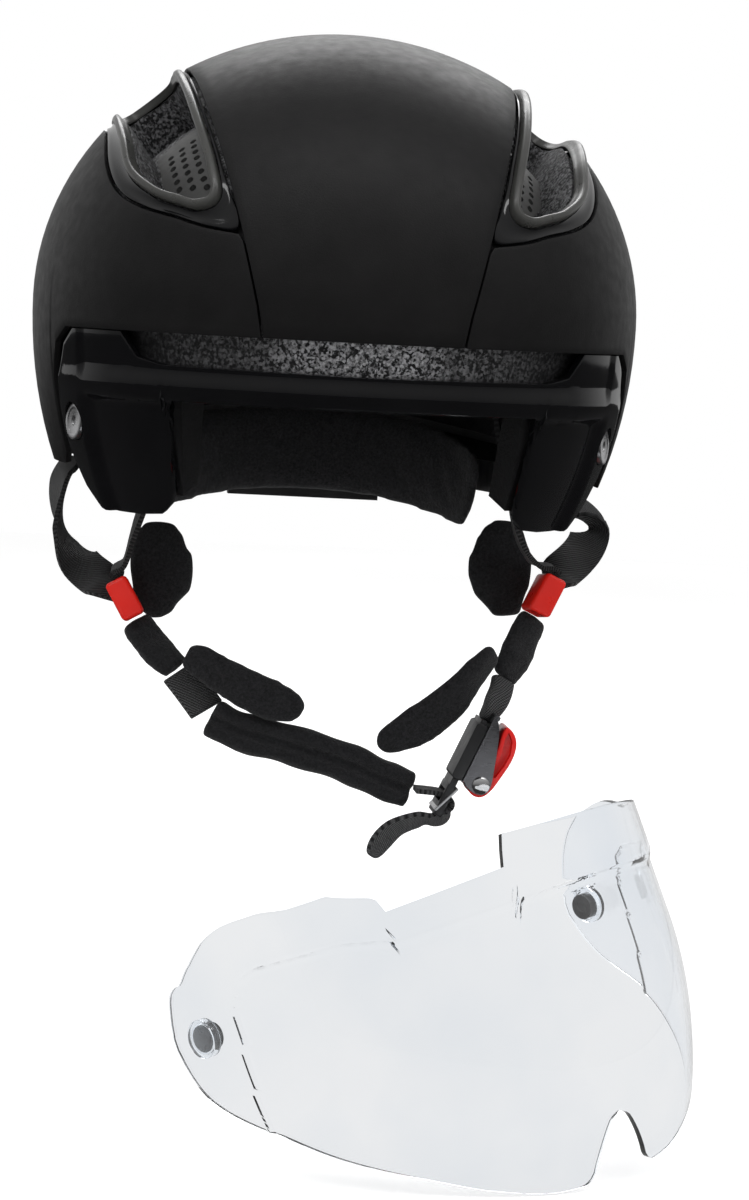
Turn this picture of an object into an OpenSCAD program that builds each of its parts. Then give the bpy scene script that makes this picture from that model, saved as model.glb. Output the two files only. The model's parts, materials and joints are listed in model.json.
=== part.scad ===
// Bicycle helmet with front vents, a glossy fascia, a chin strap with a ratchet
// buckle, a rear fit dial and a clear visor that is shown taken off.
// The origin is the middle of the head opening, the front faces -Y and +Z is up.

/* [Shell] */
// Half of the shell's width where it is widest
shell_half_w = 111.5; // [108:0.5:116]
// From the middle of the head to the front of the shell
shell_front = 130; // [127:1:135]
// From the middle of the head to the back of the shell
shell_back = 145; // [142:1:152]
// Height of the shell's widest line above the origin
waist_z = 35; // [33:0.5:38]
// From the widest line up to the top of the crown
crown_h = 102; // [99:1:108]
// Depth in which the wall under the widest line would close
skirt_h = 140; // [134:1:150]
// Wall of the moulded shell panels
shell_wall = 2.2; // [1.6:0.1:2.4]
// Half of the crown panel's width at its front edge
crown_front_w = 36.5; // [34:0.5:39]
// Half of the crown panel's width at the top of the head
crown_top_w = 60; // [58:0.5:61]
// Open joint between two shell panels
panel_gap = 0.7; // [0.4:0.1:1]
// Height of the shell's front edge over the slot
shell_edge_z = 25.5; // [24:0.5:27]

/* [Foam liner] */
// Half of the head cavity's width
cavity_half_w = 81; // [79:0.5:83]
// From the middle of the head to the front of the cavity
cavity_front = 102; // [100:1:104]
// From the middle of the head to the back of the cavity
cavity_back = 112; // [110:1:114]
// From the widest line up to the top of the cavity
cavity_h = 72; // [68:1:76]
// Thickness of the foam at its lower rim
rim_foam = 17; // [15:0.5:18]
// Clearance between the shell and the foam
foam_gap = 1; // [0.8:0.1:1.2]
// Depth of a vent's floor under the shell
vent_depth = 20; // [18:0.5:21]

/* [Vents] */
// How far the satin rim stands out of the shell
rim_proud = 2.4; // [1.5:0.1:3]
// Width of the satin rim
rim_w = 3; // [2.4:0.1:3.4]
// Thickness of the slotted grille
grille_t = 1.6; // [1:0.1:2.2]
// Length of a slot in the grille
slot_len = 3.3; // [2.4:0.1:3.9]
// Width of a slot in the grille
slot_w = 2.4; // [1.6:0.1:3]

/* [Fascia] */
// Wall of the fascia
fascia_wall = 2.5; // [2:0.1:2.8]
// Height of the brow lip's lower edge
brow_z = 2; // [0:0.5:4]
// Height of the fascia's upper edge under the slot
slot_z = 13.5; // [12:0.5:15]
// Height of the bottom of each temple post
post_z = -41; // [-44:0.5:-39]
// How far a post's front face lies under the lip
post_recess = 4; // [3:0.1:4.4]
// Radius of the steel seat that holds a visor magnet
seat_r = 6.5; // [5.5:0.1:7]
// Thickness of the steel seat
seat_t = 2; // [1.5:0.1:2.4]

/* [Fit system] */
// Height of the dial's axis
dial_z = -26; // [-27:0.5:-25]
// Radius of the fit dial
dial_r = 13.5; // [12:0.5:14.5]
// Thickness of the fit dial
dial_t = 8; // [6:0.5:9]
// Radius of the steel pin that carries the dial
dial_pin_r = 1.5; // [1.2:0.1:2]
// Height of a rack bar behind its teeth
rack_h = 4; // [3.5:0.1:4.4]
// Thickness of a rack bar
rack_t = 3; // [2.4:0.1:3.4]
// Clearance round the sliding racks
rack_gap = 0.35; // [0.3:0.05:0.5]
// Thickness of the cradle arms
arm_t = 2; // [1.6:0.1:2.2]
// Height of the cradle arms
arm_h = 12; // [10:0.5:14]

/* [Straps] */
// Width of the strap webbing
web_w = 15; // [13:0.5:16]
// Thickness of the strap webbing
web_t = 1.8; // [1.4:0.1:2.2]
// Length of a strap divider along the strap
divider_len = 15; // [13:0.5:17]
// Thickness of a strap divider
divider_t = 8.5; // [7:0.5:9]
// Thickness of the fleece ear pads
ear_pad_t = 8; // [6:0.5:9]
// Height of the padded chin sleeve
sleeve_h = 13; // [12:0.5:14]
// Thickness of the padded chin sleeve
sleeve_t = 10; // [8:0.5:11]

/* [Buckle] */
// Distance between the buckle's two cheeks
buckle_w = 18; // [16:0.5:20]
// Thickness of a steel cheek
cheek_t = 1.2; // [1:0.1:1.6]
// Radius of the rivet's shank
rivet_r = 2; // [1.5:0.1:2.4]
// Radius of the rivet's heads
rivet_head_r = 3.4; // [3:0.1:3.8]
// Running clearance of the lever on its rivet
pivot_gap = 0.15; // [0.1:0.05:0.3]
// Clearance between the lever and the cheeks
cheek_gap = 0.4; // [0.3:0.05:0.7]
// Thickness of the toothed tongue
tongue_t = 2.4; // [2:0.1:2.8]
// Pitch of the teeth on the tongue
tooth_pitch = 2.5; // [2:0.1:3]

/* [Visor] */
// Half of the visor's width over its wings
visor_half_w = 100; // [96:1:104]
// From the line through the magnets to the visor's nose
visor_depth = 88; // [84:1:92]
// Thickness of the clear lens
lens_t = 2; // [1.6:0.1:2.6]
// Radius of a visor magnet
magnet_r = 4.6; // [4:0.1:5]
// Length of a visor magnet
magnet_h = 5; // [4:0.5:6]
// Turn of the visor to its left
visor_yaw = 42; // [38:1:46]
// Rise of the visor's left wing
visor_roll = 22.2; // [18:0.5:26]
// Lean of the visor towards the front
visor_pitch = 10.3; // [6:0.5:14]
// Turn of the visor's whole pose about the vertical
visor_aim = 6.2; // [2:0.5:10]
// Depth of the visor's magnet line under the origin
visor_drop = 193.9; // [190:0.5:200]
// How far the visor lies to the left of the middle
visor_left = 29.6; // [24:0.2:34]
// How far the visor's magnet line lies in front of the head's middle
visor_ahead = 105; // [100:1:110]

/* [Hidden] */

// A wall surface is addressed by t, the azimuth from the front towards +X,
// and e, the climb from the widest line, both in degrees.
function half_depth(t, off) = (abs(t) < 90 ? shell_front : shell_back) + off;
function rise(e, off) = (e > 0 ? crown_h : skirt_h) + off;
function wall_point(t, e, off) = [
    (shell_half_w + off) * cos(e) * sin(t),
    -half_depth(t, off) * cos(e) * cos(t),
    waist_z + rise(e, off) * sin(e)];
function climb(z) = asin((z - waist_z) / (z > waist_z ? crown_h : skirt_h));
function at_height(t, z, off) = wall_point(t, climb(z), off);
function azimuth(p) = atan2(p[0] / shell_half_w, -p[1] / half_depth(p[1] < 0 ? 0 : 180, 0));
// Height of the shell above a point of the plan
function dome_z(x, y) = waist_z + crown_h
    * sqrt(max(0, 1 - pow(x / shell_half_w, 2) - pow(y / half_depth(y < 0 ? 0 : 180, 0), 2)));
function unit(v) = v / norm(v);
function mix(a, b, f) = a + (b - a) * f;
function ease(f) = let (c = min(1, max(0, f))) c * c * (3 - 2 * c);
function flat(rows) = [for (r = rows) each r];
function flipped(p) = [-p[0], p[1], p[2]];
// Points that lie along the foam are drawn for this shell, and widen with it
drawn_half_w = 111.5;
function widened(p) = [for (k = [0:len(p) - 1]) k == 0 ? p[0] * shell_half_w / drawn_half_w : p[k]];
// Points along a smooth curve through the given ones, with n steps between two
function cat(a, b, c, d, f) = 0.5 * (2 * b + (c - a) * f + (2 * a - 5 * b + 4 * c - d) * f * f
    + (3 * b - a - 3 * c + d) * f * f * f);
function smooth(p, n) = let (m = len(p)) [for (i = [0:m - 2], k = [0:(i == m - 2 ? n : n - 1)])
    cat(p[max(0, i - 1)], p[i], p[i + 1], p[min(m - 1, i + 2)], k / n)];
function smooth_loop(p, n) = let (m = len(p)) [for (i = [0:m - 1], k = [0:n - 1])
    cat(p[(i + m - 1) % m], p[i], p[(i + 1) % m], p[(i + 2) % m], k / n)];

// Faces wind clockwise seen from outside
function quad(a, b, c, d) = [[a, c, b], [a, d, c]];
// A wall between two grids of points [column][row], outer and inner
module wall_solid(outer, inner, closed = false) {
    nc = len(outer);
    nr = len(outer[0]);
    m = nc * nr;
    last = closed ? nc - 1 : nc - 2;
    function o(i, j) = (i % nc) * nr + j;
    faces = concat(
        [for (i = [0:last], j = [0:nr - 2]) each quad(o(i, j), o(i + 1, j), o(i + 1, j + 1), o(i, j + 1))],
        [for (i = [0:last], j = [0:nr - 2])
            each quad(m + o(i, j), m + o(i, j + 1), m + o(i + 1, j + 1), m + o(i + 1, j))],
        [for (i = [0:last]) each quad(o(i + 1, 0), o(i, 0), m + o(i, 0), m + o(i + 1, 0))],
        [for (i = [0:last]) let (j = nr - 1)
            each quad(o(i, j), o(i + 1, j), m + o(i + 1, j), m + o(i, j))],
        closed ? [] : [for (j = [0:nr - 2])
            each quad(o(0, j), o(0, j + 1), m + o(0, j + 1), m + o(0, j))],
        closed ? [] : [for (j = [0:nr - 2]) let (i = nc - 1)
            each quad(o(i, j + 1), o(i, j), m + o(i, j), m + o(i, j + 1))]);
    polyhedron(concat(flat(outer), flat(inner)), faces, convexity = 8);
}
// A body lofted through sections of equal length, capped at both ends
module loft(sections) {
    n = len(sections[0]);
    m = len(sections);
    function o(k, i) = k * n + (i % n);
    faces = concat(
        [for (k = [0:m - 2], i = [0:n - 1]) each quad(o(k, i), o(k, i + 1), o(k + 1, i + 1), o(k + 1, i))],
        [for (i = [1:n - 2]) [o(0, 0), o(0, i), o(0, i + 1)]],
        [for (i = [1:n - 2]) [o(m - 1, 0), o(m - 1, i + 1), o(m - 1, i)]]);
    polyhedron(flat(sections), faces, convexity = 8);
}
// A closed band whose sections run round a loop
module ring_solid(sections) {
    n = len(sections[0]);
    m = len(sections);
    function o(k, i) = (k % m) * n + (i % n);
    faces = [for (k = [0:m - 1], i = [0:n - 1]) each quad(o(k, i), o(k, i + 1), o(k + 1, i + 1), o(k + 1, i))];
    polyhedron(flat(sections), faces, convexity = 8);
}
// Zeros keep the size: the cut wall becomes one surface
module one_surface() {
    resize([0, 0, 0]) children();
}
module both(side) {
    if (side > 0) children();
    else mirror([1, 0, 0]) children();
}

// Sections of a strap or pad along a path, wide along side and thick across it.
// Four sides make flat webbing, more make a rounded pad.
function run(path, i) = let (m = len(path) - 1)
    unit(path[min(m, i + 1)] - path[max(0, i - 1)]);
function across(path, i, side) = let (d = run(path, i)) unit(side - d * (d * side));
function section(p, wide, thick, w, t, sides, waist) = [for (k = [0:sides - 1])
    let (a = sides == 4 ? 45 + 90 * k : 360 * k / sides, s = sides == 4 ? sqrt(2) : 1,
        pinch = 1 - waist * exp(-pow(cos(a) / 0.3, 2)))
    p + wide * (w / 2 * s * cos(a)) + thick * (t / 2 * s * sin(a) * pinch)];
function strap(path, side, w, t, sides = 4, waist = 0) = let (m = len(path) - 1)
    [for (i = [0:m]) let (wide = across(path, i, side(i / m)), thick = cross(run(path, i), wide))
        section(path[i], wide, thick, w(i / m), t(i / m), sides, waist)];

// Crown panel: x across, a the angle from the front over the top to the back
function crown_w(a) = crown_front_w + (crown_top_w - crown_front_w) * sin(a);
function crown_point(x, a, off) = let (q = asin(x / shell_half_w), e = a > 0 && a < 180,
        b = (a < 90 ? shell_front : shell_back) + off, h = (e ? crown_h : skirt_h) + off)
    [(shell_half_w + off) * sin(q), -b * cos(a) * cos(q), waist_z + h * sin(a) * cos(q)];
crown_back_z = -10;
function crown_start(x) = asin((shell_edge_z - waist_z) / skirt_h / cos(asin(x / shell_half_w)));
function crown_end(x) = 180 + asin((waist_z - crown_back_z) / skirt_h / cos(asin(x / shell_half_w)));
function seam_x(f) = crown_w(mix(crown_start(crown_front_w), crown_end(crown_front_w), f));
function seam_point(f, off) = let (x = seam_x(f))
    crown_point(x, mix(crown_start(x), crown_end(x), f), off);
crown_rows = 28;
crown_cols = 8;
module crown_panel() {
    function grid(off) = [for (i = [0:crown_cols]) [for (j = [0:crown_rows])
        let (f = j / crown_rows, x = (2 * i / crown_cols - 1) * (seam_x(f) - panel_gap / 2))
        crown_point(x, mix(crown_start(x), crown_end(x), f), off)]];
    color([0.06, 0.06, 0.07]) wall_solid(grid(0), grid(-shell_wall));
}

// Side shell: it ends above at the crown seam or at the vent, below at its rim
// (azimuth, height) of its edge at the front vent, and at the rear one seen from behind
// It follows the bezel's outer side from behind the tip on, then the seam again.
sky = 200;
function edge_line(loop, last) = let (tip = loop[0], end = loop[last])
    concat([[azimuth(tip) - 2.5, sky], [azimuth(tip) - 2.4, tip[2] - 2.9]],
        [for (i = [len(loop) - 1:-1:last]) [azimuth(loop[i]), loop[i][2] - edge_drop]],
        [[azimuth(end) + 0.45, end[2] - edge_drop], [azimuth(end) + 1.05, sky]]);
edge_drop = 0.3;
bridge_turn = 118;
function vent_edge(t) = t < bridge_turn ? lookup(t, vent_line)
    : lookup(180 - t, rear_line);
shell_rim = [[0, shell_edge_z], [64, shell_edge_z], [68.5, 20], [70.5, 8], [71.5, -20], [74, -24],
    [111, -24], [134, -26], [150, -22], [163, -13], [180, -10]];
// Azimuths of the shell's columns: the corners of the rim and of the vents lie on them
seam_table = [for (k = [0:60]) [azimuth(seam_point(k / 60, 0)), k / 60]];
seam_ends = [seam_table[0][0], seam_table[60][0]];
side_ts = concat([for (f = [0, 0.2, 0.45, 0.67]) mix(seam_ends[0], 26, f)],
    [26, 31, 37, 41, 45, 48.5, 52, 55, 58, 61.5, 64, 66, 68.5, 70.5, 71.5,
    74, 77, 81.7, 87, 94, 99, 103.8, 108, 111.3, 113.5, 115.2, 116.5, 119.4, 120.2, 121.4, 123, 125.5, 128,
    131.5, 135, 139, 143, 149, 154], [for (f = [0.42, 0.75, 1]) mix(154, seam_ends[1], f)]);
side_rows = 6;
module side_shell() {
    // Keeps the joint open towards the crown panel
    function seam_turn(f) = panel_gap / 2 / shell_half_w * 57.3 * (f < 0.5 ? 1 : -1) * abs(1 - 2 * f);
    function column(t, off) = let (f = lookup(t, seam_table), low = climb(lookup(t, shell_rim)),
            high = climb(min(seam_point(f, 0)[2], vent_edge(t) - panel_gap)))
        [for (j = [0:side_rows]) wall_point(t + seam_turn(f), mix(low, high, j / side_rows), off)];
    wall_solid([for (t = side_ts) column(t, 0)], [for (t = side_ts) column(t, -shell_wall)]);
}
module side_shell_right() {
    color([0.06, 0.06, 0.07]) mirror([1, 0, 0]) side_shell();
}
module side_shell_left() {
    color([0.06, 0.06, 0.07]) side_shell();
}

// Vents: outlines of the hole and of the bezel round it, on the +X side, seen from above.
// Each point holds its share of the way from the crown seam to the shell's edge, and
// its share of the shell's length, to the front or to the back.
// The rear ones are drawn as if they lay in front, and are then turned to the back.
hole_plan = [[0.248, -0.792], [0.169, -0.727], [0.139, -0.646], [0.12, -0.554], [0.101, -0.431],
    [0.09, -0.292], [0.082, -0.115], [0.079, 0.055], [0.099, 0.179], [0.218, 0.228], [0.376, 0.214],
    [0.447, 0.124], [0.452, -0.038], [0.467, -0.215], [0.518, -0.385], [0.607, -0.538], [0.603, -0.665],
    [0.498, -0.754], [0.384, -0.789]];
bezel_plan = [[0.034, -0.878], [0.028, -0.8], [0.017, -0.712], [0.015, -0.596], [0.008, -0.45],
    [0, -0.292], [0, -0.115], [0, 0.055], [0.004, 0.207], [0.147, 0.273], [0.36, 0.261], [0.514, 0.166],
    [0.544, 0], [0.592, -0.215], [0.689, -0.4], [0.75, -0.538], [0.743, -0.662], [0.662, -0.765],
    [0.505, -0.837]];
bezel_last = 9;
rear_hole_plan = [[0.196, -0.804], [0.149, -0.754], [0.136, -0.692], [0.125, -0.6], [0.124, -0.515],
    [0.152, -0.462], [0.254, -0.435], [0.397, -0.442], [0.511, -0.477], [0.578, -0.538], [0.564, -0.646],
    [0.448, -0.742], [0.316, -0.794]];
rear_bezel_plan = [[0.02, -0.878], [0.02, -0.804], [0.007, -0.723], [0.008, -0.615], [0.01, -0.508],
    [0.033, -0.423], [0.185, -0.388], [0.39, -0.396], [0.563, -0.446], [0.686, -0.538], [0.741, -0.662],
    [0.659, -0.765], [0.5, -0.837]];
rear_last = 7;
seam_plan = [for (k = [3:54]) let (p = seam_point(k / 60, 0)) [p[1], p[0]]];
function plan_spot(q, seam, depth) =
    [seam + q[0] * (shell_half_w * sqrt(1 - q[1] * q[1]) - seam), q[1] * depth];
function on_plan(q) = let (depth = half_depth(q[1] < 0 ? 0 : 180, 0))
    plan_spot(q, lookup(q[1] * depth, seam_plan), depth);
function on_rear_plan(q) = plan_spot(q, lookup(-q[1] * shell_back, seam_plan), shell_front);
loop_steps = 2;
function on_dome(q) = [q[0], q[1], dome_z(q[0], q[1])];
function dome_loop(points) = [for (q = smooth_loop(points, loop_steps)) on_dome(q)];
function dome_normal(p) = unit([p[0] / pow(shell_half_w, 2), p[1] / pow(half_depth(p[1] < 0 ? 0 : 180, 0), 2),
    (p[2] - waist_z) / pow(crown_h, 2)]);
// Direction in the surface that points away from the hole
function outward(loop, i) = let (m = len(loop), d = unit(loop[(i + 1) % m] - loop[(i + m - 1) % m]))
    unit(cross(dome_normal(loop[i]), d));
hole = dome_loop([for (q = hole_plan) on_plan(q)]);
bezel_edge = dome_loop([for (q = bezel_plan) on_plan(q)]);
rear_hole = dome_loop([for (q = rear_hole_plan) on_rear_plan(q)]);
rear_edge = dome_loop([for (q = rear_bezel_plan) on_rear_plan(q)]);
vent_line = edge_line(bezel_edge, loop_steps * bezel_last);
rear_line = edge_line(rear_edge, loop_steps * rear_last);
function placed(p, out, n, a, h) = p + out * a + n * h;
rim_low = 0.4 - shell_wall - foam_gap;
// The rim sinks into the surface towards its rear end
function rim_rise(p) = rim_proud * mix(1, 0.15, ease((p[1] + 30) / 35));
module vent_rim() {
    ring_solid([for (i = [0:len(hole) - 1])
        let (p = hole[i], n = dome_normal(p), o = outward(hole, i), h = rim_rise(p))
        [for (q = [[rim_w * 0.85, rim_low], [rim_w, -1], [rim_w * 0.8, h * 0.8],
            [rim_w * 0.35, h], [0, h * 0.6], [0, rim_low]]) placed(p, o, n, q[0], q[1])]]);
}
rim_room = 0.4;
module vent_bezel() {
    ring_solid([for (i = [0:len(hole) - 1])
        let (p = hole[i], n = dome_normal(p), o = outward(hole, i), q = bezel_edge[i], nq = dome_normal(q),
            a = placed(p, o, n, rim_w + rim_room, -0.5), b = placed(p, o, n, rim_w + rim_room, -shell_wall),
            inset = unit(p - q) * panel_gap)
        [q + inset - nq * shell_wall, q + inset - nq * 0.7, a, b]]);
}
module vent_bezel_right() {
    color([0.02, 0.02, 0.03]) both(-1) vent_bezel();
}
module vent_bezel_left() {
    color([0.02, 0.02, 0.03]) both(1) vent_bezel();
}
module vent_rim_right() {
    color([0.2, 0.2, 0.2]) both(-1) vent_rim();
}
module vent_rim_left() {
    color([0.2, 0.2, 0.2]) both(1) vent_rim();
}

// A vent's own axes at a point of the dome: middle, along, across, normal
function axes_at(q, lead) = let (mid = on_dome(q), n = dome_normal(mid), d = unit(lead - n * (n * lead)))
    [mid, d, cross(n, d), n];
vent_axes = axes_at(on_plan([0.24, -0.292]), [-0.12, -1, 0]);
rear_axes = axes_at(on_rear_plan([0.343, -0.6]), [-0.3, -0.9, 0]);
module in_axes(f) {
    multmatrix([
        [f[1][0], f[2][0], f[3][0], f[0][0]],
        [f[1][1], f[2][1], f[3][1], f[0][1]],
        [f[1][2], f[2][2], f[3][2], f[0][2]],
        [0, 0, 0, 1]]) children();
}
// A loop seen along the vent's normal, drawn in by a share of its size
function outline(loop, f, share) = [for (p = loop) let (d = p - f[0]) [d * f[1], d * f[2]] * share];
// A piece of the dome's curve between two depths, over the front vents
module dome_slab(top, low) {
    function grid(off) = [for (i = [0:5]) [for (j = [0:12]) crown_point(40 + 11 * i, 12 + 9 * j, off)]];
    wall_solid(grid(top), grid(low));
}
grille_share = 0.86;
grille_mid = [27, 0.5];
grille_size = [62, 40];
duct_size = [46, 15];
// The first slot of the middle column, and the steps to the next row and column
slot_start = [7.5, 5.2];
slot_row = [4.8, 1.5];
slot_column = [-0.9, 4.9];
// Rows of the middle column; the inner column has one more, the outer one less
slot_rows = 7;
module vent_grille() {
    one_surface() difference() {
        intersection() {
            dome_slab(0.3 + grille_t - vent_depth, 0.3 - vent_depth);
            in_axes(vent_axes) translate([0, 0, -60]) linear_extrude(80) intersection() {
                polygon(outline(hole, vent_axes, grille_share));
                translate(grille_mid) square(grille_size, center = true);
            }
        }
        in_axes(vent_axes) translate([0, 0, -60]) linear_extrude(80)
            for (c = [-1:1], r = [0:slot_rows - 1 - c])
                translate(slot_start + r * slot_row + c * slot_column)
                    square([slot_len, slot_w], center = true);
    }
}
module vent_grille_right() {
    color([0.25, 0.25, 0.25]) both(-1) vent_grille();
}
module vent_grille_left() {
    color([0.25, 0.25, 0.25]) both(1) vent_grille();
}
// The vent's hollow in the foam, and under its grille the duct to the head
module vent_cut() {
    difference() {
        in_axes(vent_axes) translate([0, 0, -60]) linear_extrude(100) polygon(outline(hole, vent_axes, 0.96));
        dome_slab(-vent_depth, -vent_depth - 50);
    }
    in_axes(vent_axes) translate(concat(grille_mid - [3, 0], [-70])) linear_extrude(100)
        square(duct_size, center = true);
}

// Rear vents lie under a louvred cover
cover_dip = 3.5;
cover_t = 1.8;
louvre_w = 4.5;
louvre_pitch = 9;
louvre_share = 0.7;
module rear_place() {
    mirror([0, 1, 0]) scale([1, shell_back / shell_front, 1]) children();
}
module rear_vent_cover() {
    mid = rear_axes[0];
    shares = [0.86, 0.4, -1.3];
    function grid(off) = [for (i = [len(rear_hole) - 1:-1:0]) [for (f = shares)
        let (e = mix(rear_hole[i], rear_edge[i], max(0, f)), q = f < 0 ? mix(e, mid, -f / 2) : e,
            p = [q[0], q[1], dome_z(q[0], q[1])])
        p + dome_normal(p) * (off - (f < 0.3 ? cover_dip : 0.4))]];
    one_surface() difference() {
        rear_place() wall_solid(grid(0), grid(-cover_t), closed = true);
        rear_place() in_axes(rear_axes) translate([0, 0, -25]) linear_extrude(50) intersection() {
            polygon(outline(rear_hole, rear_axes, louvre_share));
            for (k = [-1:2]) translate([k * louvre_pitch - 4, 0]) square([louvre_w, 60], center = true);
        }
    }
}
// Pocket in the foam behind a rear cover, and the duct that leads on
module rear_cut() {
    function lifted(h) = [for (p = rear_edge) p + dome_normal(p) * h];
    rear_place() {
        loft([lifted(25), lifted(-cover_dip - cover_t - 0.3)]);
        in_axes(rear_axes) translate([0, 0, -60]) linear_extrude(90)
            polygon(outline(rear_hole, rear_axes, 0.6));
    }
}
module rear_vent_cover_right() {
    color([0.02, 0.02, 0.03]) both(-1) rear_vent_cover();
}
module rear_vent_cover_left() {
    color([0.02, 0.02, 0.03]) both(1) rear_vent_cover();
}

// Foam liner: outer wall under the panels, inner wall round the head
liner_turns = [0, 10, 20, 30, 36, 39, 48, 57, 66, 71.8, 73, 83, 95, 107, 120, 133, 145, 157, 169];
liner_ts = concat(liner_turns, [180], [for (k = [18:-1:1]) 360 - liner_turns[k]]);
foam_rim = [[0, 5], [36, 5], [39, -35], [66, -35], [71.8, -19], [110, -20], [125, -17], [163, -8],
    [180, -6]];
post_turn = 71.8;
function near_t(t) = t > 180 ? 360 - t : t;
function foam_out(t, z) = near_t(t) < post_turn && z < shell_edge_z + 0.2
    ? -post_recess - fascia_wall - foam_gap : -shell_wall - foam_gap;
function fold_t(t) = t > 180 ? t - 360 : t;
function cavity_point(t, e) = [cavity_half_w * (e > 0 ? cos(e) : 1) * sin(t),
    -(abs(fold_t(t)) < 90 ? cavity_front : cavity_back) * (e > 0 ? cos(e) : 1) * cos(t),
    waist_z + (e > 0 ? cavity_h : skirt_h) * sin(e)];
liner_climbs = [0, 15, 30, 45, 60, 74, 86];
module foam_liner() {
    function heights(t) = let (low = lookup(near_t(t), foam_rim))
        [low, mix(low, shell_edge_z, 0.5), shell_edge_z, shell_edge_z + 0.6];
    function outer(t) = concat(
        [for (z = heights(t)) at_height(fold_t(t), z, foam_out(t, z))],
        [for (e = liner_climbs) wall_point(fold_t(t), e, -shell_wall - foam_gap)]);
    function inner(t) = concat(
        [for (z = heights(t)) let (e = climb(z), f = ease((shell_edge_z - z) / 22))
            mix(cavity_point(t, e), at_height(fold_t(t), z, -rim_foam), f)],
        [for (e = liner_climbs) cavity_point(t, e)]);
    color([0.12, 0.12, 0.13]) one_surface() difference() {
        wall_solid([for (t = liner_ts) outer(t)], [for (t = liner_ts) inner(t)], closed = true);
        for (s = [-1, 1]) {
            both(s) vent_cut();
            both(s) rear_cut();
            both(s) front_plug(plug_r + plug_gap);
            both(s) rear_plug(plug_gap);
            seat_place(s) cylinder(r = seat_r + 1, h = 1.5 * seat_cut, center = true, $fn = 32);
        }
    }
}

// Fascia: brow band with a rolled lip, and a post at each temple
fascia_end = 69.4;
fascia_marks = concat([0], [for (k = [1:6]) 6 * k], [37.5, 39.5, 41.5, 44, 47.5, 51, 55, 58.5, 60.5, 62.5,
    65.5, 67, 68.2, fascia_end]);
fascia_ts = concat([for (k = [len(fascia_marks) - 1:-1:1]) -fascia_marks[k]], fascia_marks);
fascia_top = [[0, slot_z], [38, slot_z + 0.5], [44, slot_z + 3], [48, shell_edge_z - 0.6],
    [62, shell_edge_z - 0.6], [65.5, 19.5], [68.2, 8], [fascia_end, -2]];
fascia_low = [[0, brow_z], [36, brow_z], [37.5, brow_z - 3], [39.5, post_z + 9], [41.5, post_z + 4],
    [44, post_z + 1], [51, post_z], [58.5, post_z + 1], [62.5, post_z + 6], [66, post_z + 18],
    [68.2, post_z + 28], [fascia_end, -8]];
lip_h = 6.5;
corner_turn = 60;
fascia_rows = 7;
function post_face(t, z) = ease((brow_z + 1 - z) / 4) * ease((corner_turn + 1.5 - abs(t)) / 3);
function lip_bulge(t, z) = let (u = (z - brow_z - lip_h / 2) / lip_h) -1.6 * ease(abs(u) - 0.2);
function fascia_off(t, z) = lip_bulge(t, max(z, brow_z)) * (abs(t) < corner_turn ? 1 : 0.4)
    - post_recess * 0.75 * post_face(t, z);
module fascia_skin() {
    function column(t, deep) = let (low = lookup(abs(t), fascia_low), high = lookup(abs(t), fascia_top))
        [for (j = [0:fascia_rows]) let (z = mix(low, high, j / fascia_rows))
            at_height(t, z, fascia_off(t, z) - deep)];
    wall_solid([for (t = fascia_ts) column(t, 0)], [for (t = fascia_ts) column(t, fascia_wall)]);
}
seat_turn = 64.5;
seat_cut = 16;
seat_z = -8;
seat_point = at_height(seat_turn, seat_z, 0);
seat_yaw = atan2(seat_point[0] / pow(shell_half_w, 2), -seat_point[1] / pow(shell_front, 2));
// The seat's axis points straight out of the post
module seat_place(side) {
    both(side) translate(seat_point) rotate([0, 90, seat_yaw - 90]) children();
}
module front_fascia() {
    color([0.01, 0.01, 0.015]) one_surface() difference() {
        fascia_skin();
        for (s = [-1, 1]) seat_place(s) cylinder(r = seat_r + 0.3, h = seat_cut, center = true, $fn = 32);
    }
}
module magnet_seat(side) {
    color([0.6, 0.6, 0.62]) seat_place(side) {
        translate([0, 0, -seat_t]) cylinder(r = seat_r, h = seat_t, $fn = 48);
        translate([0, 0, -seat_t - 3]) cylinder(r = seat_r / 2, h = 3, $fn = 32);
    }
}
module magnet_seat_right() {
    magnet_seat(-1);
}
module magnet_seat_left() {
    magnet_seat(1);
}

// Comfort pads lie on the cavity's wall
pad_t = 7;
pad_gap = 1.4;
module wall_pad(t0, t1, z0, z1, thick) {
    n = 10;
    rows = 5;
    function place(t, z, deep) = let (e = climb(z), f = ease((shell_edge_z - z) / 22),
            c = mix(cavity_point(t, e), at_height(fold_t(t), z, -rim_foam), f))
        c - unit([sin(t), -cos(t), 0]) * deep;
    function crown_of(i, j) = let (u = 2 * i / n - 1, v = 2 * j / rows - 1)
        0.35 + 0.65 * sqrt(max(0, (1 - pow(u, 4)) * (1 - pow(v, 4))));
    function grid(back) = [for (i = [0:n]) [for (j = [0:rows])
        let (t = mix(t0, t1, i / n), z = mix(z0, z1, j / rows))
        place(t, z, back ? pad_gap : pad_gap + thick * crown_of(i, j))]];
    wall_solid(grid(true), grid(false));
}
module brow_pad() {
    color([0.1, 0.1, 0.1]) wall_pad(-30, 30, 8, 30, pad_t);
}
module side_pad_right() {
    color([0.1, 0.1, 0.1]) wall_pad(-108, -62, 26, 48, pad_t);
}
module side_pad_left() {
    color([0.1, 0.1, 0.1]) wall_pad(62, 108, 26, 48, pad_t);
}
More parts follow.
